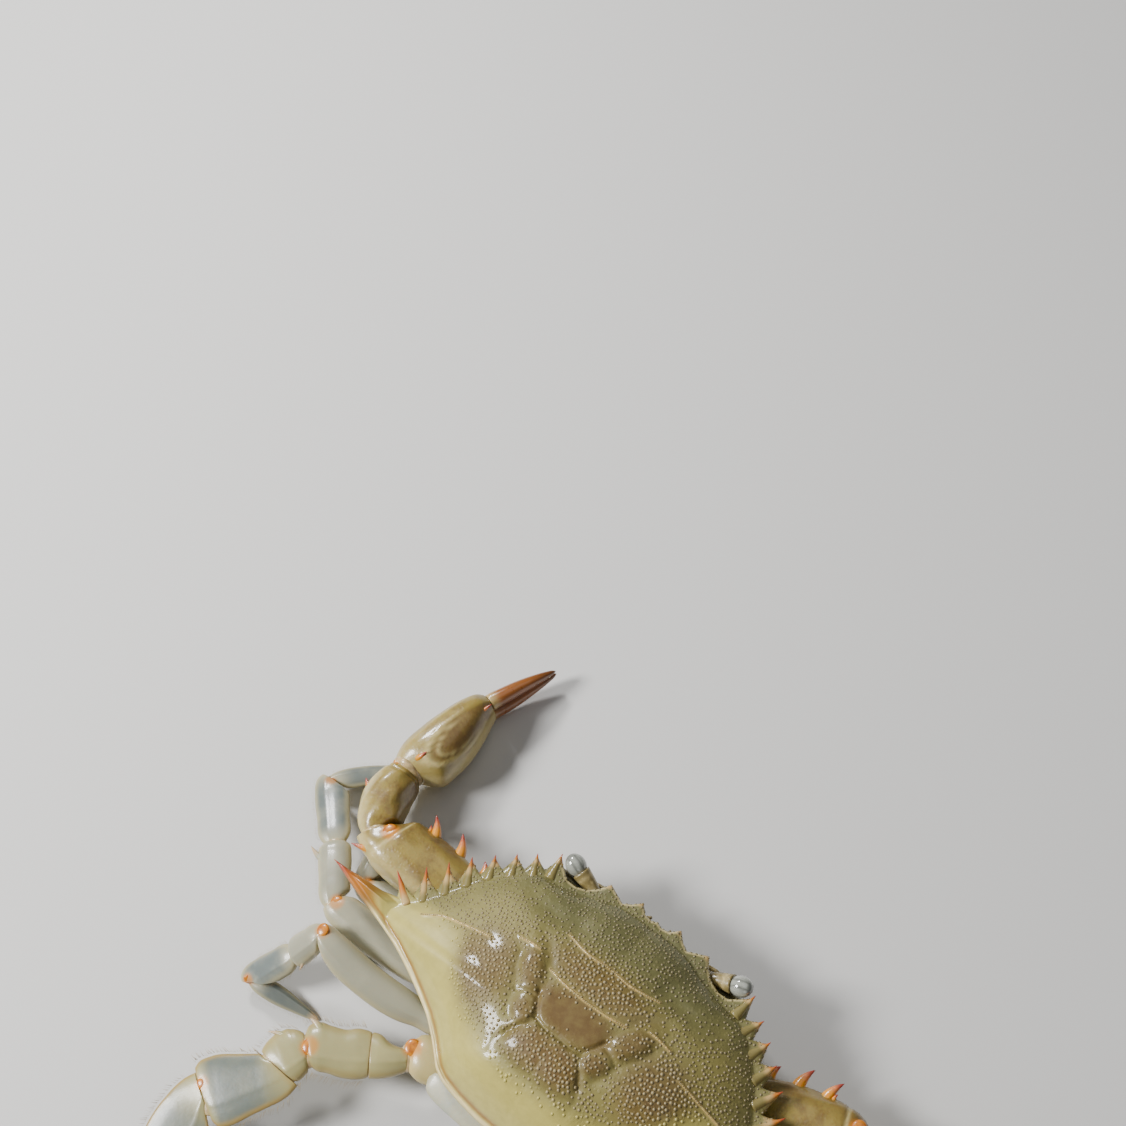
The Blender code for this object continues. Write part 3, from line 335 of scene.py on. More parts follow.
def add_node(tree, kind, settings=None, inputs=None):
    """Add a node, with its settings first and then the values or links of its sockets."""
    node = tree.nodes.new(kind)
    for key, value in (settings or {}).items():
        setattr(node, key, value)
    for key, value in (inputs or {}).items():
        if isinstance(value, Socket):
            value = value.output
        if isinstance(value, bpy.types.NodeSocket):
            tree.links.new(value, node.inputs[key])
        elif node.inputs[key].type == "RGBA":
            node.inputs[key].default_value = (*value, 1.0)
        else:
            node.inputs[key].default_value = value
    return node


class Socket:
    """A node's output that Python operators add Math nodes to."""

    def __init__(self, graph, output):
        self.graph, self.output = graph, output

    def _math(self, operation, first, second):
        return self.graph.node("ShaderNodeMath", {"operation": operation}, {0: first, 1: second})

    def __add__(self, other):
        return self._math("ADD", self, other)

    def __sub__(self, other):
        return self._math("SUBTRACT", self, other)

    def __rsub__(self, other):
        return self._math("SUBTRACT", other, self)

    def __mul__(self, other):
        return self._math("MULTIPLY", self, other)

    __radd__, __rmul__ = __add__, __mul__

    def steps(self, low, high):
        """A smooth rise from 0 at low to 1 at high."""
        return self.graph.node("ShaderNodeMapRange", {"interpolation_type": "SMOOTHSTEP"},
                               {"Value": self, "From Min": low, "From Max": high})


class Graph:
    """A material and its nodes."""

    def __init__(self, name, roughness, coat=0.0, coat_roughness=0.1, specular=0.5,
                 subsurface=0.0):
        self.material = bpy.data.materials.new(name)
        self.material.use_nodes = True
        self.tree = self.material.node_tree
        self.shader = self.tree.nodes["Principled BSDF"].inputs
        for key, value in (("Roughness", roughness), ("Coat Weight", coat),
                           ("Coat Roughness", coat_roughness), ("Specular IOR Level", specular),
                           ("Subsurface Weight", subsurface), ("Subsurface Scale", 0.0015)):
            self.shader[key].default_value = value
        self.place = self.node("ShaderNodeTexCoord", {}, {}, "Object")

    def node(self, kind, settings, inputs, output=0):
        """Add a node and return one of its outputs."""
        return Socket(self, add_node(self.tree, kind, settings, inputs).outputs[output])

    def noise(self, scale, detail=3.0, roughness=0.55):
        """Cloudy noise with this many waves a metre."""
        return self.node("ShaderNodeTexNoise", {}, {
            "Vector": self.place, "Scale": scale, "Detail": detail, "Roughness": roughness})

    def cells(self, scale):
        """Distance inside cells with this many cells a metre."""
        return self.node("ShaderNodeTexVoronoi", {}, {"Vector": self.place, "Scale": scale})

    def mask(self, name):
        """A painted mask of the piece."""
        return self.node("ShaderNodeAttribute", {"attribute_name": name}, {}, "Fac")

    def mix(self, share, first, second, mode="MIX"):
        """A mix of two colours. The node holds the share between 0 and 1."""
        return self.node("ShaderNodeMix", {"data_type": "RGBA", "blend_type": mode},
                         {0: share, 6: first, 7: second}, 2)

    def layers(self, colour, *coats):
        """Colours laid over one another, each by its own share."""
        for share, tint in coats:
            colour = self.mix(share, colour, tint)
        return colour

    def finish(self, colour, roughness=None, height=None, depth=0.0001, strength=0.5):
        """Feed colour, roughness and bump to the shader."""
        feeds = {"Base Color": colour, "Roughness": roughness}
        if height is not None:
            feeds["Normal"] = self.node("ShaderNodeBump", {}, {
                "Strength": strength, "Distance": depth, "Height": height})
        for key, value in feeds.items():
            if value is not None:
                self.tree.links.new(value.output, self.shader[key])
        return self.material


def toned(colour, factor):
    """A colour with its brightness multiplied."""
    return [factor * c for c in colour]


def shell_material(look):
    """Wet olive shell with brown lobes, pale fine lines, cream rim and orange tips."""
    g = Graph("shell_olive", 0.34, coat=0.4, specular=0.35)
    broad, fine = g.noise(70, 4), g.noise(480, 4, 0.6)
    yellow, spine, tip = g.mask("yellow"), g.mask("spine"), g.mask("tip")
    spots = g.cells(1000).steps(0.46, 0.2) * g.mask("grain")
    colour = g.layers(
        look.olive, (g.mask("front") + broad * 0.7 - 0.35, look.front),
        (yellow + broad * 0.6 - 0.3, look.yellow),
        (g.mask("brown") * (fine * 0.7 + 0.65), look.brown), (spots * 0.25, look.pale),
        (g.mask("groove") * 0.4, look.front), (g.mask("gutter") * 0.9, look.ochre),
        (g.mask("line"), look.line), (g.mask("rim"), look.cream),
        (spine.steps(0.12, 0.5) * 0.95, look.ochre), (spine.steps(0.4, 0.8) * 0.85, look.orange),
        (spine.steps(0.8, 1.0), look.red), (tip.steps(0.05, 0.4), look.tooth),
        (tip.steps(0.5, 0.8), look.orange), (tip.steps(0.82, 1.0), look.red))
    colour = g.mix(fine.steps(0.2, 0.8) * 0.4, colour, MOTTLE, "MULTIPLY")
    return g.finish(colour, 0.46 - 0.16 * yellow + 0.1 * fine,
                    spots * 0.9 + fine * 0.18 + broad * 1.5, 0.00012, 0.7)


def grain_material(look):
    """Pale grains on the brown fields, tan ones elsewhere and darker ones at the front."""
    g = Graph("shell_grains", 0.45, coat=0.15, coat_roughness=0.2)
    return g.finish(g.layers(
        toned(look.pale, 0.75), (g.mask("coarse") + g.noise(160, 3) * 0.8 - 0.4, look.pale),
        (g.mask("yellow").steps(0.0, 0.6), look.yellow), (g.mask("front") * 0.45, look.front)))


def claw_material(look):
    """Ochre and olive shell with darker patches and orange joints and spines."""
    g = Graph("claw_ochre", 0.3, coat=0.5, coat_roughness=0.12, subsurface=0.08)
    broad, fine, tip = g.noise(170, 6, 0.66), g.noise(900, 4, 0.6), g.mask("tip")
    colour = g.layers(
        look.claw, (broad.steps(0.42, 0.66) * 0.75, look.claw_dark),
        (g.mask("dark") * (0.2 + fine), look.claw_dark),
        (g.mask("edge") * (0.5 + fine), look.claw_pale), (g.mask("joint") * 0.9, look.joint),
        (tip.steps(0.02, 0.2), SPINE_ORANGE), (tip.steps(0.4, 0.7), SPINE_RED),
        (tip.steps(0.7, 0.95), SPINE_END))
    return g.finish(colour, 0.26 + 0.22 * fine,
                    g.cells(1000).steps(0.5, 0.1) * 0.5 + fine * 0.5, 0.0001, 0.55)


def finger_material(look):
    """Glossy orange-brown fingers with pale teeth."""
    g = Graph("finger_orange", 0.24, coat=0.6, subsurface=0.05)
    fine = g.noise(380, 4, 0.6)
    colour = g.layers(
        look.finger, (g.mask("dark") * 0.75 + fine * 0.5 - 0.25, toned(look.finger, 0.35)),
        (g.mask("edge") * 0.7, look.claw_pale), (g.mask("tooth"), look.tooth))
    return g.finish(colour, 0.2 + 0.2 * fine, fine, 0.00008, 0.4)


def leg_material(look, name, face, edge):
    """Pale faces turning blue outwards, with cream or ochre edges and orange joints."""
    g = Graph(name, 0.34, coat=0.3, coat_roughness=0.14, specular=0.4, subsurface=0.06)
    broad, fine = g.noise(110, 4), g.noise(900, 4, 0.6)
    # The blue mask is the legs' own blue, and on the second leg's merus also painted shade
    colour = g.layers(
        face, (g.mask("blue") * (0.5 + 0.7 * broad), look.leg_blue),
        (broad.steps(0.48, 0.75) * 0.4, toned(face, 1.3)),
        (g.mask("edge") * (0.6 + 0.6 * fine), edge), (g.mask("joint") * 0.6, look.joint),
        (g.mask("tip").steps(0.2, 0.9), LEG_TIP))
    return g.finish(colour, 0.26 + 0.2 * fine, fine + 0.5 * broad, 0.00008, 0.45)


def joint_material(name, colour, shade):
    """Soft or hard joint parts with a little variation."""
    g = Graph(name, 0.32, coat=0.5, coat_roughness=0.12, subsurface=0.1)
    fine = g.noise(800, 3)
    return g.finish(g.mix(fine.steps(0.35, 0.7), colour, shade), 0.25 + 0.2 * fine, fine)


def plate_material(look, name, colour):
    """Cream-white plates with a bluish shade in their middle."""
    g = Graph(name, 0.38, coat=0.35, coat_roughness=0.15, subsurface=0.08)
    broad, fine = g.noise(110, 4), g.noise(900, 4)
    mixed = g.layers(
        colour, (broad.steps(0.45, 0.72) * 0.55, look.plate_shade),
        (g.mask("coxa") * (0.6 + fine), look.coxa), (g.mask("groove") * 0.8, PLATE_GROOVE),
        (g.mask("edge") * 0.8, PLATE_EDGE), (g.mask("joint") * 0.8, PLATE_JOINT))
    return g.finish(mixed, 0.3 + 0.25 * fine, fine + broad)


def eye_material(look):
    """Glassy grey eye with dark bands of painted reflection and painted shade at both ends."""
    g = Graph("eye_glass", 0.06, coat=1.0, coat_roughness=0.03, specular=0.8)
    tone = g.noise(900, 3)
    return g.finish(g.mix(g.mask("dark") * 0.6 + tone.steps(0.5, 0.8) * 0.3, look.eye,
                          toned(look.eye, 0.2)), 0.05 + 0.08 * tone)


def stalk_material(look):
    """Brown stalks and feelers with pale bands."""
    g = Graph("stalk_brown", 0.35, coat=0.4, coat_roughness=0.15)
    fine = g.noise(1200, 3)
    pale = [min(1.0, 2.1 * c + 0.05) for c in look.stalk]
    return g.finish(g.mix(fine.steps(0.5, 0.75) * 0.7 + g.mask("edge") * 0.7, look.stalk, pale),
                    0.3 + 0.2 * fine, fine)


# Curves and skins

def unit(vectors):
    """Vectors of length one."""
    vectors = np.asarray(vectors, float)
    return vectors / np.linalg.norm(vectors, axis=-1, keepdims=True)


def rise(value, low, high):
    """A smooth rise from 0 at low to 1 at high."""
    share = np.clip((np.asarray(value, float) - low) / (high - low), 0.0, 1.0)
    return share * share * (3 - 2 * share)


def hill(value, middle, width):
    """A smooth hill, 1 high at its middle."""
    return np.exp(-((value - middle) / width) ** 2)


def turns(sides):
    """Angles evenly round a ring."""
    return np.linspace(0, 2 * math.pi, sides, endpoint=False)


def boxy(wave, power):
    """A sine or cosine whose flatter tops make a ring squarer."""
    return np.sign(wave) * np.abs(wave) ** power


def lengths(points):
    """Length along a line of points up to each of them."""
    return np.concatenate([[0.0], np.cumsum(np.linalg.norm(np.diff(points, axis=0), axis=1))])


def smooth_read(rows, place):
    """Read the columns of a table smoothly at places of its first column."""
    rows = np.asarray(rows, float)
    keys, values = rows[:, 0], rows[:, 1:]
    slopes = np.gradient(values, keys, axis=0)
    place = np.clip(np.asarray(place, float), keys[0], keys[-1])
    low = np.clip(np.searchsorted(keys, place, side="right") - 1, 0, len(keys) - 2)
    span = (keys[low + 1] - keys[low])[..., None]
    t = (place - keys[low])[..., None] / span
    return ((2 * t ** 3 - 3 * t ** 2 + 1) * values[low]
            + (t ** 3 - 2 * t ** 2 + t) * span * slopes[low]
            + (3 * t ** 2 - 2 * t ** 3) * values[low + 1]
            + (t ** 3 - t ** 2) * span * slopes[low + 1])


def smooth_path(points, count):
    """Points at even shares of a smooth curve through the given ones."""
    keys = lengths(points)
    return smooth_read(np.column_stack([keys, points]), np.linspace(0, keys[-1], count))


def bowed(start, end, share, bow):
    """Points at shares of a line that is bowed by a vector at its middle."""
    share = share[:, None]
    return start + (end - start) * share + np.asarray(bow, float) * (4 * share * (1 - share))


def line_distance(points, line):
    """Least distance of flat points from a line of segments."""
    line, best = np.asarray(line, float), np.inf
    for a, step in zip(line, np.diff(line, axis=0)):
        share = np.clip(((points - a) @ step) / (step @ step), 0, 1)
        best = np.minimum(best, np.linalg.norm(points - a - share[..., None] * step, axis=-1))
    return best


def frames(normals):
    """Level side and rising directions across each normal."""
    side = unit(np.cross(UP, normals))
    return side, unit(np.cross(normals, side))


def section(centre, side, up, wide, high):
    """Rings round the points of a path, with each point's reach to the side and up."""
    return centre[:, None] + side[:, None] * wide[..., None] + up[:, None] * high[..., None]


def tube(path, radii, sides):
    """Rings with these radii along a path."""
    side, up = frames(unit(np.gradient(path, axis=0)))
    turn, radii = turns(sides), radii[:, None]
    return section(path, side, up, radii * np.cos(turn), radii * np.sin(turn))


def ball(centre, first, second, third, rows=12, sides=20):
    """Rings of an egg with three half axes given as vectors."""
    fall, turn = np.linspace(0.02, math.pi - 0.02, rows)[:, None, None], turns(sides)[:, None]
    return (centre + np.sin(fall) * (np.cos(turn) * first + np.sin(turn) * second)
            + np.cos(fall) * third)


def thorn(root, tip, radius, bend, rows=12, sides=12, taper=None):
    """Rings and share along of a curved spine, round-shouldered or with a straight taper."""
    share = np.linspace(0, 1, rows) ** 0.9
    shoulders = (1 - share ** 1.25) ** 0.85 if taper is None else (1 - share) ** taper
    path = bowed(np.asarray(root), np.asarray(tip), share, bend)
    return tube(path, radius * shoulders + 0.05, sides), share[:, None]


def link(name, data):
    """Add an object to the scene."""
    item = bpy.data.objects.new(name, data)
    bpy.context.scene.collection.objects.link(item)
    return item


def put(name, mesh, slot, *nodes):
    """Link a mesh as a piece of the crab that may stand for the named nodes."""
    item = link(name, mesh)
    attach(item, "root")
    if nodes:
        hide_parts(*nodes)
    return item


def paint(mesh, name, values, kind="FLOAT", field="value"):
    """Store a value or vector for each point of a mesh."""
    mesh.attributes.new(name, kind, "POINT").data.foreach_set(
        field, np.asarray(values, np.float32).ravel())


class Piece:
    """Gathers closed skins with painted masks and makes one mesh object of them."""

    def __init__(self, name):
        self.name, self.points, self.faces, self.masks, self.count = name, [], [], {}, 0

    def skin(self, rings, **masks):
        """Add a skin of rings, closed round and at both ends, facing outwards."""
        rows, sides = rings.shape[:2]
        low, high = rows * sides, rows * sides + 1
        index = np.arange(low).reshape(rows, sides)
        onward = np.roll(index, -1, axis=1)
        quads = np.stack([index[:-1], onward[:-1], onward[1:], index[1:]], -1).reshape(-1, 4)
        caps = np.array([(low, b, a) for a, b in zip(index[0], onward[0])]
                        + [(a, b, high) for a, b in zip(index[-1], onward[-1])])
        points = np.vstack([rings.reshape(-1, 3), rings[0].mean(axis=0), rings[-1].mean(axis=0)])
        points[:, 2] = np.maximum(points[:, 2], ABOVE_FLOOR)
        triangles = np.vstack([quads[:, :3], quads[:, (0, 2, 3)], caps])
        a, b, c = (points[triangles[:, k]] for k in range(3))
        turned = -1 if np.einsum("ij,ij->", a, np.cross(b, c)) < 0 else 1
        for faces in (quads, caps):
            self.faces += (faces[:, ::turned] + self.count).tolist()
        for key, values in masks.items():
            values = np.broadcast_to(values, (rows, sides)).ravel()
            self.masks.setdefault(key, []).append(
                (self.count, np.append(values, (values[0], values[-1]))))
        self.points.append(points)
        self.count += len(points)

    def make(self, material, slot, *nodes):
        """Make the mesh in metres, with its masks as attributes, and put it on the crab."""
        mesh = bpy.data.meshes.new(self.name)
        mesh.from_pydata((np.vstack(self.points) * MM).tolist(), [], self.faces)
        for key in sorted(self.masks):
            values = np.zeros(self.count)
            for start, painted in self.masks[key]:
                values[start:start + len(painted)] = painted
            paint(mesh, key, values)
        mesh.polygons.foreach_set("use_smooth", [True] * len(mesh.polygons))
        mesh.update()
        mesh.materials.append(material)
        return put(self.name, mesh, slot, *nodes)


# Limbs

def limb_of(kind, tag, side):
    """Joints, directions and pieces of one limb."""
    pose = POSES[kind]
    x, y, z = pose["root"]
    joints, directions, pieces = [np.array((side * x, y, z))], [], []
    for (name, width, height), length, (heading, pitch) in zip(
            SECTIONS.get(kind, LEG_SECTIONS), pose["lengths"], pose[tag]):
        if kind == "cheliped" and name == "merus" and side < 0:
            length -= CLAW_SHORTER_RIGHT
        if name == "dactyl" and kind.startswith("leg"):
            drop = LEG_END_HEIGHT - joints[-1][2]
            pitch = math.degrees(math.asin(max(-0.95, min(0.95, drop / length))))
        ahead, lift = math.radians(heading), math.radians(pitch)
        directions.append(np.array((side * math.cos(ahead) * math.cos(lift),
                                    -math.sin(ahead) * math.cos(lift), math.sin(lift))))
        joints.append(joints[-1] + directions[-1] * length)
        pieces.append((name, width * pose["width"], height))
    return {"name": kind + "_" + tag + "_", "kind": kind, "side": side, "joints": joints,
            "directions": directions, "pieces": pieces, "bow": pose["bow"],
            "coxa": pose["coxa"], "knobs": KNOBS[kind]}


def joint_normal(limb, k):
    """Normal of the plane where piece k begins."""
    directions = limb["directions"]
    if k in (0, len(directions)):
        return directions[min(k, len(directions) - 1)]
    x, y, z = unit(directions[k - 1] + directions[k])
    turn = -limb["side"] * math.radians(SKEWS.get(limb["kind"], {}).get(k, 0.0))
    return np.array((math.cos(turn) * x - math.sin(turn) * y,
                     math.sin(turn) * x + math.cos(turn) * y, z))


def limb_rings(limb, k, rows, sides, bow, relief):
    """Rings of one limb piece between the planes of its joints, with its share and turn."""
    start, end = limb["joints"][k:k + 2]
    first, last = joint_normal(limb, k), joint_normal(limb, k + 1)
    name, half_width, half_height = limb["pieces"][k]
    even = np.linspace(0, 1, rows)
    share = 0.5 * even + 0.5 * (0.5 - 0.5 * np.cos(even * math.pi))
    profile = smooth_read(FORMS.get(limb["kind"], LEG_FORMS).get(name, ARM_FORM), share)
    rear, front, high = profile[:, 0], profile[:, -2], profile[:, -1]
    near, far = (np.clip(1 - room / 0.2, 0, 1)[:, None] for room in (share, 1 - share))
    side, up = frames(unit(unit(end - start) * (1 - near - far) + first * near + last * far))
    turn = turns(sides)
    around = turn if limb["side"] > 0 else (math.pi - turn) % (2 * math.pi)
    push = relief(share[:, None], around[None])
    push = push * (rise(share, 0, 0.08) * rise(1 - share, 0, 0.06))[:, None]
    wide = np.where(np.cos(around)[None] > 0, rear[:, None], front[:, None])
    points = section(bowed(start, end, share, bow), side, up,
                     boxy(np.cos(turn), 0.9) * (half_width * wide + push),
                     boxy(np.sin(turn), 0.9) * ((half_height * high)[:, None] + push))
    for plane, point, room in ((first, start, share), (-last, end, 1 - share)):
        short = np.clip(0.15 + 2.6 * room[:, None] - (points - point) @ plane, 0, None)
        points = points + short[..., None] * plane
    return points, share[:, None], around[None]


def place_on(limb, k, share, across, up):
    """A point on piece k: along it, across it towards the front, and up."""
    start, end = limb["joints"][k:k + 2]
    axis = unit(end - start)
    front = unit((axis[1], -axis[0], 0.0))
    if front[1] > 0 or (abs(front[1]) < 0.05 and front[0] * start[0] < 0):
        front = -front
    return start + (end - start) * share + front * across + UP * up


def add_spines(piece, limb, k, table):
    """Curved spines of one piece, orange to a pale or red end."""
    for index, share, across, tip_share, tip_across, low, high, radius in table:
        if index == k:
            root = place_on(limb, k, share, across, low)
            tip = place_on(limb, k, tip_share, tip_across, high)
            bend = unit(limb["directions"][k]) * (-0.12 * np.linalg.norm(tip - root))
            rings, along = thorn(root, tip, radius * 1.05, bend)
            piece.skin(rings, tip=rise(along, 0.12, 1.0) * 0.95 + 0.02)


def joint_axes(limb, k):
    """Side, rising and onward directions of the joint where piece k begins."""
    normal = joint_normal(limb, k)
    side, up = frames(normal[None])
    return side[0], up[0], normal


def knob_place(limb, k):
    """Middle of the orange knob on top of the joint where piece k begins, and its size."""
    side, up, normal = joint_axes(limb, k)
    front, lift, size = limb["knobs"][k]
    height = limb["pieces"][k - 1][2] if k else limb["coxa"][1]
    back = 2.2 if (limb["kind"], k) == ("cheliped", 2) else 0.9
    return (limb["joints"][k] + up * height * lift - side * limb["side"] * front
            - normal * back), size


def joint_mask(rings, limb, *joints):
    """Mask of what lies close to the knobs of these joints."""
    mask = np.zeros(rings.shape[:2])
    for place, size in (knob_place(limb, k) for k in joints if k in limb["knobs"]):
        mask += 1 - rise(np.linalg.norm(rings - place, axis=-1) / size, 0.9, 1.75)
    return np.clip(mask, 0, 1)


def add_joint(skin, knobs, limb, k):
    """Soft skin inside one joint, and an orange knob on top of it where there is one."""
    side, up, normal = joint_axes(limb, k)
    _, half_width, half_height = limb["pieces"][k]
    wide, high = (0.86, 0.84) if (limb["kind"], k) == ("paddle_leg", 1) else (0.66, 0.72)
    skin.skin(ball(limb["joints"][k], side * half_width * wide, up * half_height * high,
                   normal * min(2.2, half_width * 0.5)))
    if k in limb["knobs"]:
        place, size = knob_place(limb, k)
        knobs.skin(ball(place - up * 0.2, side * limb["side"] * size * 1.15, up * size * 0.36,
                        normal * size * 1.05, rows=14))


def palm_lines(share, turn):
    """Pale ridge lines of the palm, and the brown field between them."""
    oval = np.hypot((share - 0.64) / 0.52, (turn - 2.06) / 0.58)
    ring = (hill(oval, 1.0, 0.08) + 0.7 * hill(oval, 0.72, 0.05)) * (1 - rise(share, 0.45, 0.8))
    lines = 0.7 * hill(turn, 1.12 - 0.25 * share, 0.06) + 0.5 * hill(turn, 0.35, 0.07)
    return np.clip(ring + lines * rise(share, 0.1, 0.25), 0, 1), 1 - rise(oval, 0.75, 1.0)


def palm_relief(share, turn):
    """Ridges and a shallow field on the palm, in millimetres."""
    lines, field = palm_lines(share, turn)
    return 0.32 * lines - 0.18 * field


def arm_relief(share, turn):
    """Waves and a collar on the claw's other pieces, in millimetres."""
    wave = 0.2 * np.sin(turn * 3 + share * 5) + 0.12 * np.sin(turn * 7 - share * 13)
    return wave - 0.28 * hill(share, 0.86 + 0.03 * np.cos(turn), 0.018)


def leg_relief(share, turn):
    """A low keel along both edges of the flat leg pieces and a line on their upper face."""
    keel = 0.16 * hill(np.abs(np.cos(turn)), 1.0, 0.12)
    return keel + 0.14 * hill(np.cos(turn), 0.35, 0.08) * (np.sin(turn) > 0)


def claw_masks(name, share, turn):
    """Pale and dark parts of one claw piece."""
    edge = 0.8 * rise(-np.sin(turn), 0.1, 0.8)
    if name == "palm":
        lines, dark = palm_lines(share, turn)
        pale = rise(turn, 2.6, 3.0) * (1 - rise(turn, 3.4, 4.0))
        return edge + lines + 0.8 * pale + 0.5 * (1 - rise(share, 0.02, 0.25)), dark
    edge = edge + rise(np.cos(turn), 0.25, 0.9)
    if name == "merus":
        edge = edge + hill(share, 0.86 + 0.03 * np.cos(turn), 0.012)
    return edge, 0.6 * rise(-np.cos(turn), 0.1, 0.8)


def make_finger(limb, look, name, facing, lift, tip_lift, arch, half, begin, pale, *nodes):
    """One finger from the palm's end to its point, with blunt teeth of several sizes."""
    start, end = limb["joints"][4:]
    normal, axis = joint_normal(limb, 4), unit(end - start)
    share = np.linspace(begin, 1.0, 46)
    high = half * smooth_read(FINGER_FORM, share)[:, 0]
    lifts = lift + (tip_lift - lift) * np.clip(share, 0, 1) + arch * 4 * share * (1 - share)
    inside = start + unit(UP - normal * normal[2]) * lifts[:, None] + normal * (
        share * FINGER)[:, None]
    outside = start + (end - start) * share[:, None] + UP * lifts[:, None]
    blend = rise(share, 0.0, 0.2)[:, None]
    centre = inside * (1 - blend) + outside * blend
    side, up = frames(unit(normal * (1 - blend) + axis * blend))
    turn = turns(24)
    groove = 1 - 0.07 * hill(np.cos(turn) ** 2, 0.8, 0.08)
    piece = Piece(limb["name"] + name)
    piece.skin(section(centre, side, up, np.cos(turn) * groove * 0.92 * high[:, None],
                       np.sin(turn) * high[:, None]),
               dark=rise(share, 0.55, 1.0)[:, None], edge=rise(share, *pale)[:, None])
    for n, place in enumerate(np.linspace(0.14, 0.9, 17)):
        row = int(np.argmin(np.abs(share - place)))
        inward, size = up[row] * facing, 1.1 - 0.5 * place
        piece.skin(ball(centre[row] + inward * high[row] * 0.84, axis * 0.62 * size,
                        unit(np.cross(axis, up[row])) * 0.6 * size,
                        inward * FINGER_TEETH[n % 4] * (1.1 - 0.6 * place), 7, 10), tooth=1.0)
    piece.make(look, "finger", *nodes)


def make_claw(limb, claw_look, finger_look):
    """The pieces of one claw."""
    for k, (name, _, _) in enumerate(limb["pieces"][:4]):
        piece = Piece(limb["name"] + name + "_shell")
        bow = (limb["side"] * CARPUS_BOW if name == "carpus" else 0.0, 0, 0)
        rings, share, turn = limb_rings(limb, k, 72, 64, bow,
                                        palm_relief if name == "palm" else arm_relief)
        edge, dark = claw_masks(name, share, turn)
        piece.skin(rings, edge=np.clip(edge, 0, 1), dark=dark,
                   joint=joint_mask(rings, limb, k, k + 1))
        add_spines(piece, limb, k, CLAW_SPINES)
        piece.make(claw_look, "claw", limb["name"] + name)
    make_finger(limb, finger_look, "fixed_finger", 1, -2.9, -1.0, -0.3, 2.6, -0.2, (0.12, -0.1))
    make_finger(limb, finger_look, "dactyl_shell", -1, 2.9, 0.8, 0.9, 2.5, 0.006, (0.2, 0.0),
                limb["name"] + "dactyl")


def make_leg(limb, look, roots):
    """The pieces of a walking or paddle leg, and where its fringe hairs grow."""
    kind, paddle = limb["kind"], limb["kind"] == "paddle_leg"
    for k, (name, _, _) in enumerate(limb["pieces"]):
        piece = Piece(limb["name"] + name + "_shell")
        flat = paddle and name in ("propodus", "dactyl")
        bow = (0, limb["bow"] if name == "merus" else 0.0, 0)
        rings, share, turn = limb_rings(limb, k, 58, 56, bow, leg_relief)
        edge = rise(np.abs(np.cos(turn)), 0.82 if flat else 0.62, 0.97)
        if name != "dactyl":
            edge = np.clip(edge + 0.6 * rise(np.abs(share - 0.5), 0.44, 0.49), 0, 1)
        blue = rise(share, 0.0, 0.3) * (1 - rise(share, 0.8, 1.0))
        # The blue share holds the legs' own blue and, on the second leg's merus, painted shade
        piece.skin(rings, edge=edge * (1.0 if flat else 0.55),
                   blue=blue * BLUENESS_AND_SHADE.get((kind, name), BLUENESS_AND_SHADE.get(name, 0.0)),
                   joint=joint_mask(rings, limb, k, k + 1),
                   tip=rise(share, 0.75, 1.0) * (name == "dactyl" and not paddle))
        add_spines(piece, limb, k, LEG_SPINES.get(kind, ()))
        piece.make(look, "paddle_leg" if paddle else "leg", limb["name"] + name)
        if name != ("ischium" if paddle else "merus"):
            for path in (rings[6:-4, 0], rings[6:-4, rings.shape[1] // 2]):
                out = unit(path - rings.mean(axis=1)[6:-4])
                roots.append((path, out, unit(limb["directions"][k]), 1.0 if paddle else 0.5))


# Shell

def rim_height(x, y):
    """Height of the shell's edge in millimetres."""
    angle = np.arctan2(y - CENTRE_Y, np.abs(x))
    return (RIM_HEIGHT - REAR_DROP * np.maximum(0, np.sin(angle))
            + np.maximum(0, np.abs(x) - 58) * 0.14)


def curved(a, b, inward, bulge, count):
    """Points from a to b, bent inwards, without the last."""
    share = np.linspace(0, 1, count, endpoint=False)[:, None]
    return a + (b - a) * share + inward * bulge * np.sin(share * math.pi)


def edge_angle(points):
    """Angle of flat points from straight out, in degrees, from the middle of the shell."""
    points = np.asarray(points, float)
    return np.degrees(np.arctan2(points[..., 1] - CENTRE_Y, np.abs(points[..., 0])))


def left_edge():
    """The left edge from front to rear, and the angle of each point's root on the dome."""
    front, bay = np.array(FRONT_EDGE), np.array((*BAY, TOOTH_TIPS[-1]))
    flats = [curved(a, b, np.zeros(2), 0, 5) for a, b in zip(front, front[1:])]
    angles = [edge_angle(part) for part in flats]
    for tip, before, after in SIDE_TEETH:
        along = unit(after - before)
        bend = 0.1 if tip[0] < 46 else 0.4
        flats += [curved(before, tip, along, bend, 12), curved(tip, after, -along, bend, 12)]
        low, high = edge_angle(before), edge_angle(after)
        angles.append(low + (high - low) * np.linspace(0, 1, 24, endpoint=False))
    flats += [curved(a, b, np.zeros(2), 0, 9) for a, b in zip(bay, bay[1:])]
    flats.append(smooth_path(REAR_EDGE, 120))
    angles += [edge_angle(part) for part in flats[-4:]]
    return np.vstack(flats), np.concatenate(angles)


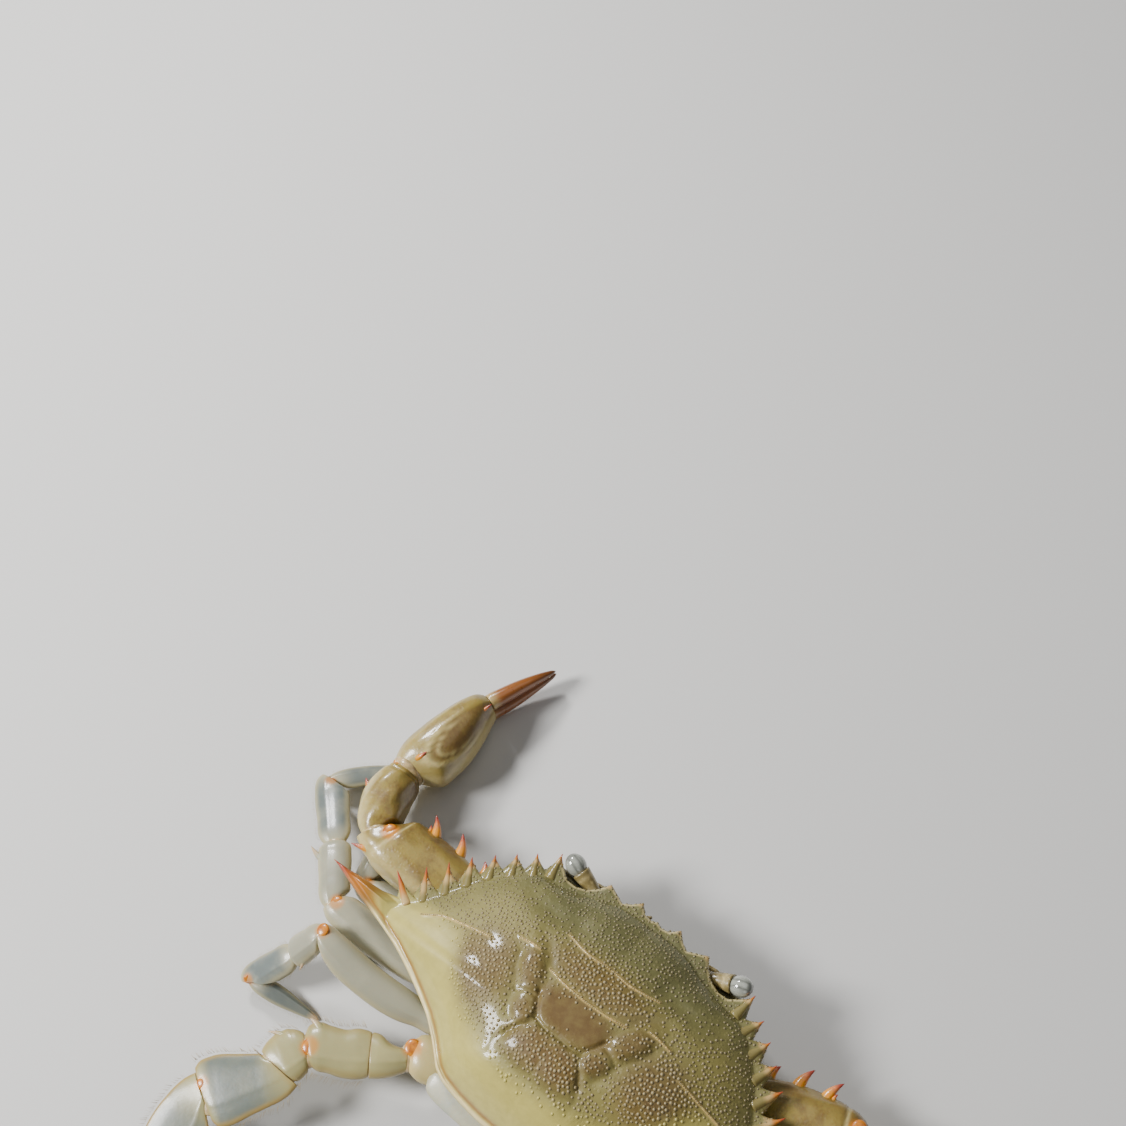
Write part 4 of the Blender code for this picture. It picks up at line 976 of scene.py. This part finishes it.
def shell_relief(flat):
    """Height of the relief in millimetres and the masks painted with it."""
    x, y = flat[..., 0], flat[..., 1]
    height, brown, groove, mark, coarse = np.zeros((5, *x.shape))
    for cx, cy, long, wide, turn, tall, sharp, tint in SWELLS:
        c, s = math.cos(math.radians(turn)), math.sin(math.radians(turn))
        u, v = x - cx, y - cy
        reach = ((u * c + v * s) / long) ** 2 + ((v * c - u * s) / wide) ** 2
        height += tall * np.exp(-reach ** sharp)
        brown = np.maximum(brown, tint * np.exp(-(reach * 0.8) ** (sharp + 0.6)))
    for width, depth, line in GROOVES:
        gap = line_distance(flat, line)
        height -= depth * hill(gap, 0, width)
        groove = np.maximum(groove, hill(gap, 0, width * 1.6))
    for line in RIDGES:
        gap = line_distance(flat, line)
        height += 0.28 * hill(gap, 0, 0.36)
        mark = np.maximum(mark, hill(gap, 0, 0.26))
    for cx, cy, long, wide in COARSE_FIELDS:
        coarse += hill(x, cx, long) * hill(y, cy, wide)
    coarse = np.clip(coarse, 0, 1)
    past = line_distance(flat, GRAIN_LIMIT) * np.sign(y - np.interp(x, *np.array(GRAIN_LIMIT).T))
    bare = np.exp(-((x / 11.0) ** 2 + ((y + 3.8) / 4.4) ** 2) ** 2)
    grain = (1 - rise(past, -3.0, 3.0)) * (1 - bare) * (1 - 0.5 * groove) * (0.75 + 0.25 * coarse)
    yellow = rise(past, -3.5, 3.5)
    return height, brown * (1 - yellow), groove, mark, grain, yellow, coarse


def shell_rings(look):
    """The whole shell as rings from its crown over the edge and under it, with masks."""
    left, angle = left_edge()
    edge = np.vstack([left, left[-2:0:-1] * (-1, 1)])
    angle = np.concatenate([angle, angle[-2:0:-1]])
    middle = np.array((0.0, CENTRE_Y))
    reach = np.minimum(smooth_read(BASE_LINE, angle)[:, 0],
                       np.linalg.norm(edge - middle, axis=1) - 0.35)
    out = np.column_stack([np.where(edge[:, 0] < 0, -1, 1) * np.cos(np.radians(angle)),
                           np.sin(np.radians(angle))])
    inner = middle + out * reach[:, None]
    foot, brim = rim_height(*inner.T) + 1.2, rim_height(*edge.T)
    steep = 0.85 + 0.3 * hill(angle, -1, 12)
    rings = []
    for share in np.linspace(0.012, 1.0, DOME_RINGS):
        rings.append((middle + (inner - middle) * share,
                      foot + (RIM_HEIGHT + DOME_HEIGHT - foot) * (1 - share ** 2.2) ** steep))
    for share in np.linspace(0.1, 1.0, BRIM_RINGS):
        rings.append((inner + (edge - inner) * share, brim + 1.15 * math.sqrt(1 - share ** 1.7)))
    for share in (0.8, 0.5, 0.2, 0.0):
        rings.append((inner + (edge - inner) * share, brim - 1.7 + 1.7 * share ** 1.4))
    for share in (0.93, 0.86, 0.77, 0.68, 0.35, 0.05):
        lift = smooth_read(UNDER_LIFT, share)[0]
        rings.append((middle + (inner - middle) * share,
                      SHELL_FLOOR + (brim - 1.7 - SHELL_FLOOR) * max(0.0, lift)))
    x, y = np.array([ring for ring, _ in rings]).transpose(2, 0, 1)
    heights = np.array([height for _, height in rings])
    zone = (np.arange(len(rings)) < TOP_RINGS)[:, None] * np.ones(len(edge))
    away, flat = np.abs(x), np.stack([np.abs(x), y], -1)
    lift, brown, groove, mark, grain, yellow, coarse = shell_relief(flat)
    edge_gap, rear_gap = line_distance(flat, left), line_distance(flat, REAR_EDGE)
    rear = rise(y + 0.04 * away, -0.5, 2.5)
    band, gutter = hill(rear_gap, 0.5, 0.45) * rear, hill(rear_gap, 1.6, 0.45) * rear
    heights = heights + zone * (lift * look.relief * rise(edge_gap, 0.0, 4.0)
                                + band * look.rim / MM - gutter * 0.35)
    tip = np.zeros_like(x)
    for tx, ty, reach, strength in TIP_MARKS:
        tip = np.maximum(tip, strength * (1 - rise(np.hypot(away - tx, y - ty), 0.2, reach)))
    front = (1 - rise(edge_gap, 3.0, 12.0)) * (1 - rise(y, -9, 0))
    front = np.maximum(front * (0.75 - 0.35 * rise(away, 26, 40)),
                       0.85 * rise(-y, 12, 25) * (1 - rise(away, 20, 38)))
    lip = hill(edge_gap, 0.35, 0.3) * rise(-y, 27.5, 29.5) * (away < 27)
    masks = {"brown": brown * zone, "groove": groove * grain * zone, "line": mark * zone,
             "grain": grain * zone * (1 - mark), "yellow": yellow, "tip": tip,
             "rim": np.clip(band * 1.2 + 0.55 * lip, 0, 1) * zone, "front": front,
             "gutter": gutter * zone, "coarse": coarse,
             "spine": 1 - rise(TOOTH_TIPS[-1][0] - away, 0.5, 23.0)}
    return np.dstack([x, y, heights]), masks


def height_reader(rings):
    """A function that gives the height of the shell's top at flat points."""
    top = rings[:TOP_RINGS].reshape(-1, 3)
    tree = KDTree(len(top))
    for k, (x, y, _) in enumerate(top):
        tree.insert((x, y, 0.0), k)
    tree.balance()

    def read(x, y):
        found = tree.find_n((x, y, 0.0), 3)
        weights = [1 / (gap + 0.05) for _, _, gap in found]
        return sum(top[k][2] * w for (_, k, _), w in zip(found, weights)) / sum(weights)
    return read


def add_teeth(piece):
    """A slender spine along each side tooth, a long one along each end of the shell, ledges."""
    for k, (tip, before, after) in enumerate(SIDE_TEETH):
        base = (before + after) / 2
        axis = unit(tip - base)
        (rx, ry), (ex, ey) = base - axis * 2.6, tip + axis * 0.5
        for _, side in SIDES:
            rings, share = thorn((side * rx, ry, rim_height(rx, ry) + 0.15),
                                 (side * ex, ey, rim_height(*tip) + 0.9),
                                 1.75 if k < 5 else 1.55, (0, 0, -0.1), 18, 14, 1.0)
            piece.skin(rings, tip=rise(share, TIP_STARTS[k], 1.0), brown=0.35)
    for _, side in SIDES:
        x, y = TOOTH_TIPS[-1]
        rings, share = thorn((side * 46.0, 1.8, rim_height(46.0, 1.8) - 1.6),
                             (side * (x + 0.2), y, rim_height(x, y) + 0.7), 2.3,
                             (0, -0.3, -0.7), 30, 24, 0.9)
        piece.skin(rings, spine=rise(share, -0.25, 1.0))
    for _, side in SIDES:
        fall = 1.9 - 0.7 * np.abs(np.linspace(-1, 1, 40)) ** 3
        piece.skin(tube(smooth_path(np.array(ORBIT_LEDGE) * (side, 1, 1), 40), fall, 18),
                   front=0.8, brown=0.3)


# What repeats, grown by Geometry Nodes

def socket_named(sockets, name, kind="VALUE"):
    """The socket with this name and type."""
    return next(s for s in sockets if s.name == name and s.type == kind)


class Grower:
    """A Geometry Nodes tree with named inputs, which is run once on a mesh."""

    def __init__(self, name, **values):
        self.tree, self.values = bpy.data.node_groups.new(name, "GeometryNodeTree"), values
        sockets = self.tree.interface
        for way in ("OUTPUT", "INPUT"):
            sockets.new_socket("Geometry", in_out=way, socket_type="NodeSocketGeometry")
        for label, value in values.items():
            kind = "NodeSocketInt" if isinstance(value, int) else "NodeSocketFloat"
            socket = sockets.new_socket(label, in_out="INPUT", socket_type=kind)
            socket.default_value = value
        self.given = self.tree.nodes.new("NodeGroupInput").outputs

    def node(self, kind, settings, inputs):
        """Add a node and return its outputs."""
        return add_node(self.tree, kind, settings, inputs).outputs

    def field(self, name, kind="FLOAT", found="VALUE"):
        """What is stored under a name for each point of the mesh."""
        outputs = self.node("GeometryNodeInputNamedAttribute", {"data_type": kind},
                            {"Name": name})
        return socket_named(outputs, "Attribute", found)

    def chance(self, low, high):
        """A random value between two others, the same in each run."""
        node = add_node(self.tree, "FunctionNodeRandomValue", {"data_type": "FLOAT"})
        socket_named(node.inputs, "Min").default_value = low
        socket_named(node.inputs, "Max").default_value = high
        return socket_named(node.outputs, "Value")

    def grow(self, source, name, material, **spread):
        """Set shapes on points, make them real and return them as a plain mesh."""
        result = self.node("GeometryNodeInstanceOnPoints", {}, spread)["Instances"]
        for kind, inputs in (("RealizeInstances", {}), ("SetShadeSmooth", {}),
                             ("SetMaterial", {"Material": material})):
            inputs["Geometry"] = result
            result = self.node("GeometryNode" + kind, {}, inputs)["Geometry"]
        self.tree.links.new(result, self.tree.nodes.new("NodeGroupOutput").inputs["Geometry"])
        host = link(name + "_host", source)
        modifier = host.modifiers.new(name, "NODES")
        modifier.node_group = self.tree
        for item in self.tree.interface.items_tree:
            if item.in_out == "INPUT" and item.name in self.values:
                modifier[item.identifier] = self.values[item.name]
        bpy.context.view_layer.update()
        graph = bpy.context.evaluated_depsgraph_get()
        mesh = bpy.data.meshes.new_from_object(host.evaluated_get(graph))
        mesh.name = name
        bpy.data.objects.remove(host)
        bpy.data.node_groups.remove(self.tree)
        return mesh


def grow_grains(source, look, material):
    """Flattened grains scattered over the shell where its grain mask is set."""
    g = Grower("shell_grains", Gap=look.grain_gap, Size=look.grain_size, Seed=7)
    scatter = g.node("GeometryNodeDistributePointsOnFaces", {"distribute_method": "POISSON"}, {
        "Mesh": g.given["Geometry"], "Distance Min": g.given["Gap"], "Seed": g.given["Seed"],
        "Density Max": GRAINS_PER_AREA, "Density Factor": g.field("scatter")})
    grain = g.node("GeometryNodeMeshIcoSphere", {},
                   {"Radius": g.given["Size"], "Subdivisions": 1})
    flat = g.node("GeometryNodeTransform", {},
                  {"Geometry": grain["Mesh"], "Scale": GRAIN_SCALE})
    size = g.node("ShaderNodeMath", {"operation": "MULTIPLY_ADD"},
                  {0: g.field("coarse"), 1: 0.22, 2: g.chance(0.5, 0.82)})
    return g.grow(source, "carapace_grains", material, Points=scatter["Points"],
                  Instance=flat["Geometry"], Rotation=scatter["Rotation"], Scale=size[0])


def grow_beads(lines, look, material):
    """Beads at even steps along lines given in millimetres."""
    g = Grower("line_beads", Gap=look.bead_gap, Size=BEAD_RADIUS)
    curve = g.node("GeometryNodeMeshToCurve", {}, {"Mesh": g.given["Geometry"]})["Curve"]
    even = g.node("GeometryNodeResampleCurve", {"mode": "LENGTH"},
                  {"Curve": curve, "Length": g.given["Gap"]})
    bead = g.node("GeometryNodeMeshIcoSphere", {},
                  {"Radius": g.given["Size"], "Subdivisions": 1})
    starts = [n * len(line) + k for n, line in enumerate(lines) for k in range(len(line) - 1)]
    source = bpy.data.meshes.new("ridge_lines")
    source.from_pydata((np.vstack(lines) * MM).tolist(), [(k, k + 1) for k in starts], [])
    return g.grow(source, "carapace_beads", material, Points=even["Curve"],
                  Instance=bead["Mesh"], Scale=g.chance(0.75, 1.15))


def grow_hairs(roots, look, name):
    """Tapered hairs along the edges of the legs of one side."""
    rng = np.random.default_rng(11)
    points, lies, longs = [], [], []
    for path, out, onward, length in roots:
        count = int(lengths(path)[-1] * MM / look.hair_gap)
        share = np.linspace(0, len(path) - 1.001, count)
        low = share.astype(int)
        mix = (share - low)[:, None]
        lie = unit(out[low] + onward * 0.55 + rng.normal(0, 0.13, (count, 3)))
        long = length * rng.uniform(0.55, 1.0, count)
        points.append((path[low] * (1 - mix) + path[low + 1] * mix) * MM
                      + lie * (long * look.hair_length * 0.4)[:, None])
        lies.append(lie)
        longs.append(long)
    source = bpy.data.meshes.new("fringe_roots")
    source.from_pydata(np.vstack(points).tolist(), [], [])
    paint(source, "lie", np.vstack(lies), "FLOAT_VECTOR", "vector")
    paint(source, "long", np.concatenate(longs))
    hair = Graph("fringe_hair", 0.5)
    hair.shader["Base Color"].default_value = (*look.hair, 1.0)
    g = Grower("fringe_hairs", Length=look.hair_length, Thickness=HAIR_RADIUS)
    cone = g.node("GeometryNodeMeshCone", {}, {
        "Vertices": 3, "Side Segments": 1, "Radius Bottom": g.given["Thickness"],
        "Radius Top": HAIR_END_RADIUS, "Depth": g.given["Length"]})
    turn = g.node("FunctionNodeAlignRotationToVector", {"axis": "Z"},
                  {"Vector": g.field("lie", "FLOAT_VECTOR", "VECTOR")})
    dots = g.node("GeometryNodeMeshToPoints", {}, {"Mesh": g.given["Geometry"]})
    return g.grow(source, name, hair.material, Points=dots["Points"], Instance=cone["Mesh"],
                  Rotation=turn["Rotation"], Scale=g.field("long"))


# Underside

def thorax_rings():
    """Rings of the breastplate from its foot to the shell, with grooves between its plates."""
    heights = np.concatenate([[0.9] * 4, np.linspace(0.9, 12.9, 22)])
    shrink = np.concatenate([[0.1, 0.4, 0.7, 0.92], np.ones(22)])
    turn, rings, cuts = turns(96), [], []
    across, along = boxy(np.cos(turn), 0.75), boxy(np.sin(turn), 0.85)
    narrow = 1 - 0.3 * np.maximum(0, along) ** 2 - 0.34 * np.maximum(0, -along) ** 2
    for height, small in zip(heights, shrink):
        front, rear, share = smooth_read(THORAX_LEVELS, height)
        x = across * narrow * share * THORAX_HALF_WIDTH * small
        y = (front + rear) / 2 + along * (rear - front) / 2 * small
        cut = np.max([hill(y, line + 0.06 * np.abs(x), 0.55) for line in THORAX_GROOVES], axis=0)
        rings.append(np.column_stack([x * (1 - 0.022 * cut * (small > 0.9)), y,
                                      height + 0.5 * cut * (small < 0.95)]))
        cuts.append(cut)
    return np.array(rings), np.array(cuts)


def coxa_rings(limb):
    """Rings of a limb's root on the breastplate, and the share along it."""
    start, direction = limb["joints"][0], limb["directions"][0]
    inner = start + (start * (0, 0.5, 0.7) - start) * 0.78
    bulge = start - direction * 2.2
    path = smooth_path(np.array([inner, inner + (bulge - inner) * 0.6, bulge,
                                 start - direction * 0.3]), 24)
    share = np.linspace(0, 1, 24)
    size = smooth_read(COXA_FORM, share)
    side, up = frames(np.broadcast_to(direction, path.shape))
    half_width, half_height = limb["coxa"]
    turn = turns(36)
    return section(path, side, up, np.cos(turn) * half_width * size,
                   np.sin(turn) * half_height * size), share[:, None]


def pleon_rings():
    """Rings of the folded tail, with masks of its joints and edges."""
    table = np.array(PLEON_PATH)
    steps = lengths(table[:, :2])
    place = np.linspace(0, steps[-1], 110)
    y, z, half_width = smooth_read(np.column_stack([steps, table]), place).T
    flat = np.zeros_like(y)
    out = np.cross(ACROSS, unit(np.column_stack([flat, np.gradient(y), np.gradient(z)])))
    cut = np.max([hill(place, joint, 0.45) for joint in PLEON_JOINTS], axis=0)[:, None]
    across, along = boxy(np.cos(turns(44)), 0.5), boxy(np.sin(turns(44)), 0.6)
    rings = section(np.column_stack([flat, y, z]), np.tile(ACROSS, (len(y), 1)), out,
                    half_width[:, None] * (1 - 0.035 * cut) * across,
                    (PLEON_HALF_THICKNESS - 0.35 * cut) * along)
    return rings, cut, rise(np.abs(across), 0.9, 1.0)


def first_ring():
    """Rings of the broad band behind the shell's rear rim, from side to side."""
    size = np.sqrt(np.clip(1 - np.abs(np.linspace(-1, 1, 60)) ** 24, 0.02, 1))[:, None, None]
    wide = boxy(np.cos(turns(28)), 0.7)[:, None] * unit((0.0, 1.0, -0.35))
    high = boxy(np.sin(turns(28)), 0.8)[:, None] * unit((0.0, 0.35, 1.0))
    return smooth_path(FIRST_RING, 60)[:, None] + size * (wide * 2.8 + high * 0.55)


def mouth_rings(side, low, high, begin, end, out_low, out_high):
    """A rounded plate of the mouth between two places across and along the slope."""
    foot, top = np.array((0.0, *MOUTH_FOOT)), np.array((0.0, *MOUTH_TOP))
    slope = unit(top - foot)
    share, turn = np.linspace(0, 1, 16)[:, None], turns(28)
    round_end = np.sqrt(np.clip(1 - (2 * share - 1) ** 6, 0.02, 1))
    centre = foot + (top - foot) * (begin + (end - begin) * share)
    x = (low + high) / 2 + (high - low) / 2 * boxy(np.cos(turn), 0.5) * round_end
    d = (out_low + out_high) / 2 + (out_high - out_low) / 2 * boxy(np.sin(turn), 0.6) * round_end
    return (centre[:, None] + side * x[..., None] * ACROSS
            + d[..., None] * np.array((0.0, -slope[2], slope[1])))


# Operators, one for each group of pieces

class CRAB_OT_shell(bpy.types.Operator):
    """Build the shell with its teeth, relief, rim, grains and beaded lines"""
    bl_idname = "crab.shell"
    bl_label = "Shell"

    def execute(self, context):
        look = context.scene.crab_shell
        rings, masks = shell_rings(look)
        piece = Piece("carapace_shell")
        piece.skin(rings, **masks)
        add_teeth(piece)
        shell = piece.make(shell_material(look), "shell", "carapace")
        grains = grain_material(look)
        source = shell.data.copy()
        grain, line = np.zeros((2, len(source.vertices)), np.float32)
        source.attributes["grain"].data.foreach_get("value", grain)
        source.attributes["line"].data.foreach_get("value", line)
        paint(source, "scatter", np.clip(grain - line * 2, 0, 1))
        put("carapace_grains", grow_grains(source, look, grains), "shell")
        read = height_reader(rings)
        lines = [np.array([(side * x, y, read(side * x, y) + 0.06)
                           for x, y in smooth_path(ridge, 40)])
                 for ridge in RIDGES for _, side in SIDES]
        put("carapace_beads", grow_beads(lines, look, grains), "shell")
        ridge = Piece("carapace_lines")
        for line in lines:
            ends = np.sin(np.linspace(0, math.pi, len(line))) ** 0.4
            ridge.skin(tube(line - UP * 0.1, 0.05 + 0.2 * ends, 10))
        ridge.make(joint_material("ridge_line", look.line, toned(look.line, 0.6)), "shell")
        return {"FINISHED"}


class CRAB_OT_claws(bpy.types.Operator):
    """Build both claws with their ridges, spines and toothed fingers"""
    bl_idname = "crab.claws"
    bl_label = "Claws"

    def execute(self, context):
        look = context.scene.crab_limbs
        claw, finger = claw_material(look), finger_material(look)
        for tag, side in SIDES:
            make_claw(limb_of("cheliped", tag, side), claw, finger)
        return {"FINISHED"}


class CRAB_OT_legs(bpy.types.Operator):
    """Build the walking legs and the paddle legs with their fringes"""
    bl_idname = "crab.legs"
    bl_label = "Legs"

    def execute(self, context):
        look = context.scene.crab_limbs
        legs = leg_material(look, "leg_blue_grey", look.leg, look.leg_edge)
        paddles = leg_material(look, "paddle_ochre", look.paddle, look.paddle_edge)
        for tag, side in SIDES:
            roots = []
            for kind in ("leg2", "leg3", "leg4", "paddle_leg"):
                make_leg(limb_of(kind, tag, side), paddles if kind == "paddle_leg" else legs,
                         roots)
            name = "leg_fringes_" + tag
            put(name, grow_hairs(roots, look, name), None)
        return {"FINISHED"}


class CRAB_OT_joints(bpy.types.Operator):
    """Build the soft skins and orange knobs of every joint"""
    bl_idname = "crab.joints"
    bl_label = "Joints"

    def execute(self, context):
        look = context.scene.crab_limbs
        skins = joint_material("joint_skin", look.skin, toned(look.skin, 0.6))
        knobs = joint_material("joint_orange", look.joint, KNOB_SHADE)
        for tag, side in SIDES:
            skin, knob = Piece("joint_skins_" + tag), Piece("joint_knobs_" + tag)
            for kind in POSES:
                limb = limb_of(kind, tag, side)
                for k in range(4 if kind == "cheliped" else len(limb["pieces"])):
                    add_joint(skin, knob, limb, k)
            skin.make(skins, None)
            knob.make(knobs, None)
        return {"FINISHED"}


class CRAB_OT_underside(bpy.types.Operator):
    """Build the breastplate, limb roots, folded tail and mouth plates"""
    bl_idname = "crab.underside"
    bl_label = "Underside"

    def execute(self, context):
        look = context.scene.crab_body
        plates = plate_material(look, "plate_cream", look.plate)
        strip = plate_material(look, "tail_white", look.strip)
        thorax = Piece("thorax_plates")
        rings, cut = thorax_rings()
        thorax.skin(rings, groove=cut)
        for limb in (limb_of(kind, tag, side) for tag, side in SIDES for kind in POSES):
            rings, share = coxa_rings(limb)
            thorax.skin(rings, coxa=rise(share, 0.3, 0.7), joint=joint_mask(rings, limb, 0),
                        edge=rise(share, 0.9, 1.0))
        thorax.make(plates, "underside", "thorax")
        pleon = Piece("pleon_plates")
        rings, cut, edge = pleon_rings()
        pleon.skin(rings, groove=cut, edge=edge)
        pleon.skin(first_ring())
        pleon.make(strip, "underside", "pleon")
        for tag, side in SIDES:
            mouth = Piece("mouth_plates_" + tag)
            for place, masks in MOUTH_PLATES:
                mouth.skin(mouth_rings(side, *place), **masks)
            mouth.make(plates, "underside", "mouth_plate_" + tag)
        return {"FINISHED"}


class CRAB_OT_eyes(bpy.types.Operator):
    """Build the eyes, their stalks and the feelers"""
    bl_idname = "crab.eyes"
    bl_label = "Eyes"

    def execute(self, context):
        look = context.scene.crab_body
        glass, brown = eye_material(look), stalk_material(look)
        for tag, side in SIDES:
            mirror = np.array((side, 1, 1))
            path, share = smooth_path(np.array(EYESTALK) * mirror, 26), np.linspace(0, 1, 26)
            radii = 2.1 - 0.25 * np.sin(share * math.pi) + 0.25 * rise(share, 0.6, 1.0)
            stalk = Piece("eyestalk_" + tag + "_skin")
            stalk.skin(tube(path, radii, 20), edge=hill(share[:, None], 0.85, 0.05))
            stalk.make(brown, "stalk", "eyestalk_" + tag)
            axis = unit(path[-1] - path[-2])
            (one,), (two,) = frames(axis[None])
            centre = path[-1] + axis * EYE_RADIUS * 0.9
            rings = ball(centre, one * EYE_RADIUS * 1.1, two * EYE_RADIUS * 1.06,
                         axis * EYE_RADIUS * 1.3, rows=44, sides=48)
            # Dark bands across the eye are a painted reflection; the darkening at both ends is
            # painted shade
            across, along = (rings - centre) @ one, (rings - centre) @ axis
            bands = 1 - rise(np.abs(np.abs(across) - 0.85), 0.12, 0.4)
            eye = Piece("eye_" + tag + "_glass")
            eye.skin(rings, dark=np.maximum(bands, rise(np.abs(along), 1.9, 2.6)))
            eye.make(glass, "eye", "eye_" + tag)
            for name, points, first, last in (("antenna_", ANTENNA, 1.15, 0.22),
                                              ("antennule_", ANTENNULE, 0.9, 0.4)):
                share = np.linspace(0, 1, 60)
                radii = (first + (last - first) * share ** 0.6) * (1 + 0.05 * np.sin(share * 110))
                feeler = Piece(name + tag + "_skin")
                feeler.skin(tube(smooth_path(np.array(points) * mirror, 60), radii, 14),
                            edge=0.5 + 0.5 * np.sin(share * 55)[:, None])
                feeler.make(brown, "stalk", name + tag)
        return {"FINISHED"}


class CRAB_OT_stage(bpy.types.Operator):
    """Build the floor, the lights and the camera"""
    bl_idname = "crab.stage"
    bl_label = "Stage"

    def execute(self, context):
        look = context.scene.crab_stage
        floor = bpy.data.meshes.new("floor")
        floor.from_pydata([(x * FLOOR_HALF, y * FLOOR_HALF, 0)
                           for x, y in ((-1, -1), (1, -1), (1, 1), (-1, 1))], [], [(0, 1, 2, 3)])
        g = Graph("floor_pale", 0.75, specular=0.2)
        g.shader["Base Color"].default_value = (*look.floor, 1.0)
        floor.materials.append(g.material)
        item = link("floor", floor)
        for name, power, width, place in (
                ("key", look.light, 0.26, (0.50, 0.36, 0.56)),
                ("sheen", look.light * 0.36, 0.12, (0.52, -0.27, 0.46)),
                ("overhead", look.fill, 0.9, (-0.15, -0.35, 0.95)),
                ("low", look.fill * 0.5, 0.5, (-0.7, 0.45, 0.4))):
            data = bpy.data.lights.new(name, "AREA")
            data.energy, data.shape, data.size = power, "DISK", width
            lamp = link(name, data)
            lamp.location = place
            aim = -unit(np.array(place) - LAMPS_AIM)
            lamp.rotation_euler = (math.acos(-aim[2]), 0.0, math.atan2(-aim[0], aim[1]))
        context.scene.world = world = bpy.data.worlds.new("studio")
        world.use_nodes = True
        back = world.node_tree.nodes["Background"].inputs
        back["Color"].default_value = (0.92, 0.95, 1.0, 1.0)
        back["Strength"].default_value = 0.14
        data = bpy.data.cameras.new("camera")
        data.lens, data.sensor_width, data.clip_start = look.lens, SENSOR, 0.01
        camera = link("camera", data)
        camera.location = CAMERA_PLACE
        camera.rotation_euler = [math.radians(a) for a in CAMERA_TURN]
        context.scene.camera = camera
        return {"FINISHED"}


PIECES = (CRAB_OT_shell, CRAB_OT_claws, CRAB_OT_legs, CRAB_OT_joints, CRAB_OT_underside,
          CRAB_OT_eyes, CRAB_OT_stage)
SETTINGS = (("crab_shell", CrabShellSettings), ("crab_limbs", CrabLimbSettings),
            ("crab_body", CrabBodySettings), ("crab_stage", CrabStageSettings))


class CRAB_PT_panel(bpy.types.Panel):
    """Lists the crab's settings and pieces"""
    bl_label = "Blue crab"
    bl_idname = "CRAB_PT_panel"
    bl_space_type = "VIEW_3D"
    bl_region_type = "UI"
    bl_category = "Crab"

    def draw(self, context):
        for name, group in SETTINGS:
            box = self.layout.box()
            for key in group.__annotations__:
                box.prop(getattr(context.scene, name), key)
        for operator in PIECES:
            self.layout.operator(operator.bl_idname)


def register():
    for name, group in SETTINGS:
        bpy.utils.register_class(group)
        setattr(bpy.types.Scene, name, bpy.props.PointerProperty(type=group))
    for shown in (*PIECES, CRAB_PT_panel):
        bpy.utils.register_class(shown)


def unregister():
    for shown in (CRAB_PT_panel, *reversed(PIECES)):
        bpy.utils.unregister_class(shown)
    for name, group in reversed(SETTINGS):
        delattr(bpy.types.Scene, name)
        bpy.utils.unregister_class(group)


def main():
    register()
    for operator in PIECES:
        group, name = operator.bl_idname.split(".")
        getattr(getattr(bpy.ops, group), name)()


if __name__ == "__main__":
    main()
